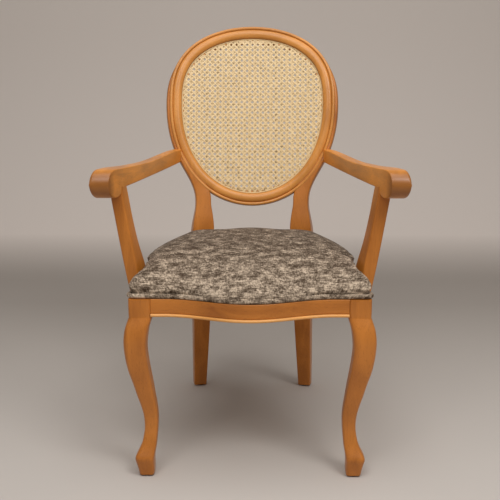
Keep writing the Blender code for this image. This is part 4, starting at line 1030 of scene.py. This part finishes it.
def seat_outline(inset):
    """The plan of the seat, inset from the rails' outer faces: bowed in front, notched at the posts."""
    front = FRONT_LEG_Y - LEG_BLOCK / 2 + FRONT_RAIL_RECESS + inset
    rear = SEAT_REAR_Y - inset
    half = notch_half(inset)
    wide = half + SEAT_NOTCH_SLOPE
    plan = (
        (front, 0.0, SEAT_CORNER, 8),
        (SEAT_NOTCH_Y - wide, 0.0, SEAT_NOTCH_ROUND, 4),
        (SEAT_NOTCH_Y - half, SEAT_NOTCH_DEPTH, SEAT_NOTCH_ROUND, 4),
        (SEAT_NOTCH_Y + half, SEAT_NOTCH_DEPTH, SEAT_NOTCH_ROUND, 4),
        (SEAT_NOTCH_Y + wide, 0.0, SEAT_NOTCH_ROUND, 4),
        (rear, 0.0, SEAT_CORNER, 8),
    )
    right = [(Vector((seat_side_x(y, inset + cut), y)), radius, arc) for y, cut, radius, arc in plan]
    left = [(Vector((-place.x, place.y)), radius, arc) for place, radius, arc in reversed(right)]
    edge_steps = (6, 3, 8, 3, 22, 30, 22, 3, 8, 3, 6, 64)
    outline = rounded_outline(right + left, edge_steps)
    for point in outline:
        if point.y < front + 0.001:
            point.y -= bulge(point.x, FRONT_BULGE, FRONT_BULGE_HALF)
        elif point.y > rear - 0.001:
            point.y += bulge(point.x, REAR_BULGE, REAR_BULGE_HALF)
    return outline


def without_notch(point, inset):
    """A point of the seat's plan, moved out to its straight side where the notch drew it in."""
    if abs(point.y - SEAT_NOTCH_Y) > notch_half(inset) + SEAT_NOTCH_SLOPE:
        return point
    return Vector((math.copysign(seat_side_x(point.y, inset), point.x), point.y))


def seat_edge(y):
    """How high the side of the seat stands over the rails: low at the front corners, full at the rear."""
    share = (y - SEAT_EDGE_FRONT_Y) / (SEAT_EDGE_REAR_Y - SEAT_EDGE_FRONT_Y)
    short = 1 - min(max(share, 0.0), 1.0)
    return SEAT_EDGE_HEIGHT + SEAT_EDGE_RISE * (1 - short ** SEAT_EDGE_BOW)


def swollen(point, share):
    """A point of the seat's plan, pushed out where the stuffing bellies between the post and the rear."""
    run = (point.y - SEAT_SWELL_FRONT_Y) / (SEAT_SWELL_REAR_Y - SEAT_SWELL_FRONT_Y)
    belly = SEAT_SIDE_SWELL * share * math.sin(math.pi * min(max(run, 0.0), 1.0))
    return Vector((point.x * (1 + belly / seat_side_x(point.y, 0.0)), point.y))


@lofted
def cushion():
    """The seat: a foot behind the piping, drawn-in sides and a crowned top."""
    low = RAIL_TOP + 2 * FIT
    foot = 2 * PIPING_RADIUS * COVER_FOOT_RISE
    for height in (low, low + 2 * PIPING_RADIUS * COVER_FOOT):
        yield [Vector((*point, height)) for point in seat_outline(COVER_FOOT_INSET)]
    side_steps = 8
    for i in range(1, side_steps + 1):
        share = i / side_steps
        inset = COVER_FOOT_INSET - (COVER_FOOT_INSET - SEAT_SIDE_INSET) * math.sin(math.pi / 2 * share)
        ring = []
        for point in seat_outline(inset):
            height = low + foot + (seat_edge(point.y) - foot) * share
            ring.append(Vector((*swollen(point, share), height)))
        yield ring
    rim = seat_outline(SEAT_SIDE_INSET)
    crown = Vector((0.0, SEAT_CROWN_Y))
    dome_steps = 30
    for i in range(1, dome_steps):
        lift = math.sin(math.pi / 2 * i / dome_steps)
        reach = (1 - lift ** (1 / SEAT_DOME_EASE)) ** (1 / SEAT_DOME_POWER)
        ring = []
        for point in rim:
            place = without_notch(point, SEAT_SIDE_INSET).lerp(point, reach ** SEAT_NOTCH_FADE)
            height = low + seat_edge(point.y) * (1 - lift) + SEAT_CROWN * lift
            ring.append(Vector((*(crown + (swollen(place, 1.0) - crown) * reach), height)))
        yield ring


def plumped(piece):
    """Blows the cushion up a little as cloth held at its foot, and keeps every move within a limit."""
    scene = bpy.context.scene
    even = piece.modifiers.new("even faces", "REMESH")
    even.mode = "VOXEL"
    even.voxel_size = CLOTH_FACE
    apply_modifiers(piece)
    verts = piece.data.vertices
    start = [vert.co - vert.normal * CLOTH_SLACK for vert in verts]
    low = RAIL_TOP + 2 * FIT + 2 * PIPING_RADIUS
    for vert, place in zip(verts, start):
        if vert.co.z > low:
            vert.co = place
    held = piece.vertex_groups.new(name="held")
    held.add([vert.index for vert in verts if vert.co.z < low], 1.0, "REPLACE")
    stuffing = piece.modifiers.new("stuffing", "CLOTH")
    stuffing.settings.vertex_group_mass = held.name
    stuffing.settings.use_pressure = True
    stuffing.settings.uniform_pressure_force = CLOTH_PRESSURE
    stuffing.settings.effector_weights.gravity = 0.0
    stuffing.point_cache.frame_start = 1
    stuffing.point_cache.frame_end = CLOTH_FRAMES
    for frame in range(1, CLOTH_FRAMES + 1):
        scene.frame_set(frame)
    graph = bpy.context.evaluated_depsgraph_get()
    blown = piece.evaluated_get(graph).data
    moves = [there.co - here.co for there, here in zip(blown.vertices, verts)]
    scene.frame_set(1)
    piece.modifiers.clear()
    for vert, move in zip(verts, moves):
        vert.co += move * min(1.0, CLOTH_REACH / max(move.length, FIT))
    piece.data.shade_smooth()
    soft = piece.modifiers.new("soft cloth", "SUBSURF")
    soft.levels = 1
    soft.render_levels = 1


def mark_cloth(piece):
    """Stores the flat plan of the cloth: the plan of the top, with what hangs below the crown folded out."""
    mesh = piece.data
    plan = mesh.attributes.new("cloth", "FLOAT_VECTOR", "POINT")
    crown = Vector((0.0, SEAT_CROWN_Y)) + SHIFT.xy
    top = RAIL_TOP + 2 * FIT + SEAT_CROWN
    for vert, value in zip(mesh.vertices, plan.data):
        ray = vert.co.xy - crown
        place = vert.co.xy + ray.normalized() * (top - vert.co.z)
        value.vector = (place.x, place.y, 0.0)


def piping_rings(count):
    """Rings of the piping round the foot of the seat."""
    route = seat_outline(PIPING_INSET + PIPING_RADIUS)
    height = RAIL_TOP + PIPING_RADIUS + 2 * FIT
    rings = []
    for i, point in enumerate(route):
        heading = (route[(i + 1) % len(route)] - route[i - 1]).normalized()
        out = Vector((heading.y, -heading.x))
        ring = []
        for k in range(count):
            turn = math.tau * k / count
            place = point + out * PIPING_RADIUS * math.cos(turn)
            ring.append(Vector((*place, height + PIPING_RADIUS * math.sin(turn))))
        rings.append(ring)
    return rings


@lofted
def strand(path):
    """One flat strand of cane along a path of (across, along, forward), as a closed strip."""
    count = len(path)
    for i, (across, along, forward) in enumerate(path):
        after, before = path[min(i + 1, count - 1)], path[max(i - 1, 0)]
        heading = Vector((after[0] - before[0], after[1] - before[1])).normalized()
        side = Vector((heading.y, -heading.x)) * (sizes().strand_width / 2)
        section = ((-1.0, 0.0), (-0.55, CANE_THICK), (0.55, CANE_THICK), (1.0, 0.0))
        yield [back_point(across + side.x * t, along + side.y * t, forward + lift) for t, lift in section]


def cane_margins():
    """A function that tells how far a point lies inside the edge that the spline covers."""
    angles = [math.tau * i / CANE_RIM_POINTS for i in range(CANE_RIM_POINTS)]
    tree = KDTree(len(angles))
    for i, angle in enumerate(angles):
        tree.insert((*(ring_edge(angle) + ring_inward(angle) * CANE_REACH), 0.0), i)
    tree.balance()

    def margin(across, along):
        place = Vector((across, along, 0.0))
        rim, i, _ = tree.find(place)
        return (place - rim).xy.dot(ring_inward(angles[i]))

    return margin


def cane_origin():
    """(across, along) of one crossing, from which the weave is counted."""
    pitch = sizes().cane_pitch
    return pitch / 2, (RING_LOWER + RING_UPPER) / 2 + pitch * CANE_OFFSET


def cane_wave(value):
    """Rises and falls once from one opening of the cane to the next."""
    return math.cos(math.tau * value / sizes().cane_pitch)


def cane_lines():
    """Lines of (across, along, lift), each with the axis it follows and its side that faces the openings."""
    pitch = sizes().cane_pitch
    aside, centre = cane_origin()
    gap = sizes().strand_width * CANE_PAIR_GAP
    columns = math.ceil(RING_HALF_WIDTH / pitch) + 1
    rows = math.ceil((RING_LOWER + RING_UPPER) / 2 / pitch) + 1

    def ticks(count):
        return [i * pitch / 4 for i in range(-count * 4, count * 4 + 1)]

    for column in range(-columns, columns + 1):
        for pair in (-1, 1):
            across = column * pitch + aside + pair * gap
            yield [(across, centre + t, -pair * (0.5 + 0.5 * cane_wave(t))) for t in ticks(rows)], 1, pair
    for row in range(-rows, rows + 1):
        for pair in (-1, 1):
            along = centre + row * pitch + pair * gap
            yield [(t + aside, along, 0.0) for t in ticks(columns)[::2]], 0, -pair
    for slope in (-1, 1):
        for offset in range(-columns - rows, columns + rows + 1):
            line = []
            for t in ticks(columns):
                lift = CANE_SLANT_LIFT + slope * CANE_SLANT_WAVE * cane_wave(t)
                line.append((t + aside, centre + slope * t + (offset + 0.5) * pitch, lift))
            yield line, 0, 0


def woven_cane():
    """All the strands inside the ring, pressed down under the spline, with painted shade on the lower pairs
    and on the edges beside the openings.
    """
    margin = cane_margins()
    origin = cane_origin()
    chance = random.Random(CANE_SEED)
    whole = bmesh.new()
    tone = whole.verts.layers.float.new("tone")
    scratch = bpy.data.meshes.new("strand")
    for line, axis, outer in cane_lines():
        path = []
        for across, along, lift in line:
            inside = margin(across, along)
            if inside > 0:
                press = smooth_step((inside - CANE_PRESS_START) / CANE_PRESS_RUN)
                rise = sizes().strand_rise * (1 + lift) * press
                path.append((across, along, -LEDGE_DEPTH + FIT + rise + CANE_LIFT))
        if len(path) < 4:
            continue
        piece = strand(path)
        piece.to_mesh(scratch)
        piece.free()
        known = len(whole.verts)
        whole.from_mesh(scratch)
        whole.verts.ensure_lookup_table()
        # A random tone for each strand, with the pairs darker as painted shade under the slanting strands
        shade = CANE_TONE_SPREAD * chance.random() + (CANE_PAIR_SHADED_TONE if outer else CANE_SLANT_TONE)
        # Painted shade on the edges beside the openings, strongest midway between crossings
        for i, vert in enumerate(whole.verts[known:]):
            hole = 1 - cane_wave(path[i // 4][axis] - origin[axis])
            vert[tone] = shade - CANE_EDGE_SHADE[outer][i % 4] * hole
    bpy.data.meshes.remove(scratch)
    return whole


class ARMCHAIR_OT_back(bpy.types.Operator):
    """Makes the moulded ring of the back and the rear legs that carry it"""

    bl_idname = "armchair.back"
    bl_label = "Back and rear legs"

    def execute(self, context):
        # The ring's paler colours are partly its stain and partly painted highlight
        level = beech("x", stain="ring")
        crest = ring_segment(UPPER_JOINT, math.pi - UPPER_JOINT, 64)
        settle(new_object("crest_rail_moulded", crest, level), "beech", "crest_rail")
        lower = ring_segment(-math.pi - LOWER_JOINT, LOWER_JOINT, 40)
        settle(new_object("lower_rail_moulded", lower, level), "beech", "lower_back_rail")
        for name, side in SIDES:
            leg = new_object(f"rear_leg_{name}_shaped", stile(side), beech("z"))
            run = (LOWER_JOINT, UPPER_JOINT)
            if side < 0:
                run = (math.pi - UPPER_JOINT, math.pi - LOWER_JOINT)
            ring_side = new_object(f"ring_side_{name}", ring_segment(*run, 56), beech("z", stain="ring"))
            combined(leg, ring_side, "UNION")
            settle(leg, "beech", f"rear_leg_{name}")
        return {"FINISHED"}


class ARMCHAIR_OT_cane(bpy.types.Operator):
    """Weaves the cane of the back and lays the spline round it"""

    bl_idname = "armchair.cane"
    bl_label = "Cane and spline"

    def execute(self, context):
        settle(new_object("cane_webbing", woven_cane(), cane_finish(), 60), "cane", "cane_panel")
        inner, outer = RING_WIDTH + FIT, RING_WIDTH + SPLINE_GROOVE - FIT
        low, proud = -LEDGE_DEPTH - SPLINE_DEPTH + FIT, SPLINE_PROUD + SPLINE_ROUND
        section = [(inner, low), *round_moulding(inner, outer, LEDGE_DEPTH, proud, 7), (outer, low)]
        rings = []
        turns = 200
        for i in range(turns):
            angle = math.tau * i / turns
            rings.append([ring_point(angle, inward, forward) for inward, forward in section])
        bm = skin(rings, closed=True)
        layer = bm.verts.layers.float.new("tone")
        for vert in bm.verts:
            vert[layer] = SPLINE_TONE
        settle(new_object("cane_spline_round", bm, cane_finish()), "cane", "cane_spline")
        return {"FINISHED"}


class ARMCHAIR_OT_seat_frame(bpy.types.Operator):
    """Makes the front legs and the rails of the seat"""

    bl_idname = "armchair.seat_frame"
    bl_label = "Front legs and rails"

    def execute(self, context):
        front = new_object("front_rail_serpentine", front_rail(), beech("x"))
        # The bead's faces take the paler bead colours: a painted highlight along the bead
        front.data.materials.append(beech("x", stain="bead"))
        for face in front.data.polygons:
            face.material_index = int(face.center.z < RAIL_TOP - RAIL_HEIGHT + 2 * RAIL_BEAD)
        settle(front, "beech", "front_seat_rail")
        settle(new_object("rear_rail_eased", rear_rail(), beech("x")), "beech", "rear_seat_rail")
        lean = math.atan2(RAIL_RUN.x, RAIL_RUN.y)
        for name, side in SIDES:
            along = beech("y", (0.0, 0.0, side * lean))
            rail = new_object(f"side_rail_{name}_eased", side_rail(side), along)
            combined(rail, new_object(f"post_housing_{name}", arm_post(side, FIT), along), "DIFFERENCE")
            settle(rail, "beech", f"side_seat_rail_{name}")
            leg = new_object(f"front_leg_{name}_cabriole", cabriole_leg(side), beech("z"))
            settle(leg, "beech", f"front_leg_{name}")
        return {"FINISHED"}


class ARMCHAIR_OT_arms(bpy.types.Operator):
    """Makes the scroll arms and the posts that carry them"""

    bl_idname = "armchair.arms"
    bl_label = "Arms and posts"

    def execute(self, context):
        lean = math.atan(ARM_SPLAY)
        for name, side in SIDES:
            # The arms' paler colours are partly their stain and partly painted light from above
            along = beech("y", (0.0, 0.0, side * lean), "arm")
            settle(new_object(f"arm_{name}_scroll", scroll_arm(side), along), "beech", f"arm_{name}")
            post = new_object(f"arm_post_{name}_curved", arm_post(side), beech("z"))
            settle(post, "beech", f"arm_post_{name}")
        return {"FINISHED"}


class ARMCHAIR_OT_seat(bpy.types.Operator):
    """Makes the upholstered seat and its piping"""

    bl_idname = "armchair.seat"
    bl_label = "Seat and piping"

    def execute(self, context):
        cover = new_object("seat_cushion", cushion(), cloth_finish(), 50)
        plumped(cover)
        mark_cloth(cover)
        settle(cover, "fabric", "seat_cover", "seat_foam")
        route = skin(piping_rings(16), closed=True)
        cord = new_object("seat_piping_sewn", route, cloth_finish(), 60)
        mark_cloth(cord)
        settle(cord, "fabric", "seat_piping")
        return {"FINISHED"}


class ARMCHAIR_OT_fittings(bpy.types.Operator):
    """Makes the glides and finishes the blocks, dowels, screws and board"""

    bl_idname = "armchair.fittings"
    bl_label = "Glides and fittings"

    def execute(self, context):
        for end in ("front", "rear"):
            for name, _ in SIDES:
                node = f"{end}_glide_{name}"
                low, high = (Vector(corner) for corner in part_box(node))
                radius = (high.x - low.x) / 2
                place = Vector(((low.x + high.x) / 2, (low.y + high.y) / 2, 0.0))
                profile = (
                    (0.0, 0.0), (radius * 0.86, 0.0), (radius * 0.96, 0.0005), (radius, 0.0014),
                    (radius, 0.0030), (radius * 0.97, GLIDE_THICK), (NAIL_RADIUS, GLIDE_THICK),
                    (NAIL_RADIUS, high.z), (0.0, high.z),
                )
                glide = new_object(f"{end}_glide_{name}_turned", spun_disc(place, profile), nylon_finish())
                settle(glide, "nylon", node)
        coats = (
            ("ring_dowel", beech("z")), ("arm_plug", beech("x")), ("corner_block", beech("x")),
            ("block_screw", steel_finish()), ("seat_screw", steel_finish()), ("arm_screw", steel_finish()),
            ("arm_post_screw", steel_finish()), ("seat_board", plywood_finish()),
        )
        for node, piece in frame["nodes"].items():
            for start, coat in coats:
                if node.startswith(start):
                    for slot in piece.material_slots:
                        slot.material = coat
        return {"FINISHED"}


class ARMCHAIR_OT_stage(bpy.types.Operator):
    """Makes the studio: a seamless sweep, soft lamps and the camera"""

    bl_idname = "armchair.stage"
    bl_label = "Studio"

    def execute(self, context):
        scene = context.scene
        scene.view_settings.view_transform = "Standard"
        bm = bmesh.new()
        profile = [(-SWEEP_LENGTH, 0.0), (SWEEP_BEND_Y, 0.0)]
        for i in range(1, 17):
            turn = math.pi / 2 * i / 16
            run, rise = SWEEP_BEND * math.sin(turn), SWEEP_BEND - SWEEP_BEND * math.cos(turn)
            profile.append((SWEEP_BEND_Y + run, rise))
        profile.append((SWEEP_BEND_Y + SWEEP_BEND, SWEEP_LENGTH))
        verts = [bm.verts.new((-SWEEP_HALF_WIDTH, y, z)) for y, z in profile]
        edges = [bm.edges.new(pair) for pair in zip(verts, verts[1:])]
        swept = bmesh.ops.extrude_edge_only(bm, edges=edges)["geom"]
        moved = [item for item in swept if isinstance(item, bmesh.types.BMVert)]
        bmesh.ops.translate(bm, verts=moved, vec=(2 * SWEEP_HALF_WIDTH, 0.0, 0.0))
        bmesh.ops.recalc_face_normals(bm, faces=bm.faces)
        make = Shades("paper_sweep")
        place = make.add("ShaderNodeSeparateXYZ", {"Vector": make.objects()})
        # The paper's colour is graded as painted light and shade: darker on the far floor, lighter at the
        # wall's foot
        rise = make.spread(place.outputs["Z"], *WALL_LIGHT_FADE, 0.0, 1.0)
        near = make.spread(place.outputs["Y"], *FLOOR_LIGHT_FADE, 0.0, 1.0)
        wall = make.mix(rise, WALL_FOOT_PAINTED_LIGHT, WALL_HEAD_PAINTED_LIGHT)
        floor = make.mix(near, FLOOR_FAR_PAINTED_SHADE, FLOOR_NEAR_PAINTED_LIGHT)
        foot = make.spread(place.outputs["Z"], *SWEEP_FADE, 0.0, 1.0)
        make.finish(Base_Color=make.mix(foot, floor, wall), Roughness=0.9)
        sweep = new_object("paper_sweep", bm, make.material, 80)
        world = bpy.data.worlds.new("studio")
        scene.world = world
        world.use_nodes = True
        background = world.node_tree.nodes["Background"]
        background.inputs["Color"].default_value = SKY_COLOUR
        background.inputs["Strength"].default_value = SKY_STRENGTH
        for name, place, size, power in LAMPS:
            light = bpy.data.lights.new(name, "AREA")
            light.size = size
            light.energy = power
            lamp = bpy.data.objects.new(name, light)
            lamp.location = place
            lamp.rotation_euler = (LAMP_AIM - Vector(place)).to_track_quat("-Z", "Y").to_euler()
            scene.collection.objects.link(lamp)
        lens = bpy.data.cameras.new("photo camera")
        lens.sensor_width = CAMERA_SENSOR
        lens.lens = CAMERA_LENS
        camera = bpy.data.objects.new("photo camera", lens)
        camera.location = CAMERA_PLACE
        camera.rotation_euler = CAMERA_TURN
        scene.collection.objects.link(camera)
        scene.camera = camera
        return {"FINISHED"}


class ARMCHAIR_PT_panel(bpy.types.Panel):
    """Lists the pieces of the armchair"""

    bl_idname = "ARMCHAIR_PT_panel"
    bl_label = "Dining armchair"
    bl_space_type = "VIEW_3D"
    bl_region_type = "UI"
    bl_category = "Armchair"

    def draw(self, context):
        for group in (context.scene.armchair_sizes, context.scene.armchair_finishes):
            for name in group.__annotations__:
                self.layout.prop(group, name)
        for operator in OPERATORS:
            self.layout.operator(operator.bl_idname)


OPERATORS = (
    ARMCHAIR_OT_back,
    ARMCHAIR_OT_cane,
    ARMCHAIR_OT_seat_frame,
    ARMCHAIR_OT_arms,
    ARMCHAIR_OT_seat,
    ARMCHAIR_OT_fittings,
    ARMCHAIR_OT_stage,
)
CLASSES = (ArmchairSizes, ArmchairFinishes, *OPERATORS, ARMCHAIR_PT_panel)


def register():
    for item in CLASSES:
        bpy.utils.register_class(item)
    bpy.types.Scene.armchair_sizes = bpy.props.PointerProperty(type=ArmchairSizes)
    bpy.types.Scene.armchair_finishes = bpy.props.PointerProperty(type=ArmchairFinishes)


def unregister():
    del bpy.types.Scene.armchair_finishes
    del bpy.types.Scene.armchair_sizes
    for item in reversed(CLASSES):
        bpy.utils.unregister_class(item)


def main():
    register()
    for operator in OPERATORS:
        group, name = operator.bl_idname.split(".")
        getattr(getattr(bpy.ops, group), name)()
    bpy.context.view_layer.update()


if __name__ == "__main__":
    main()
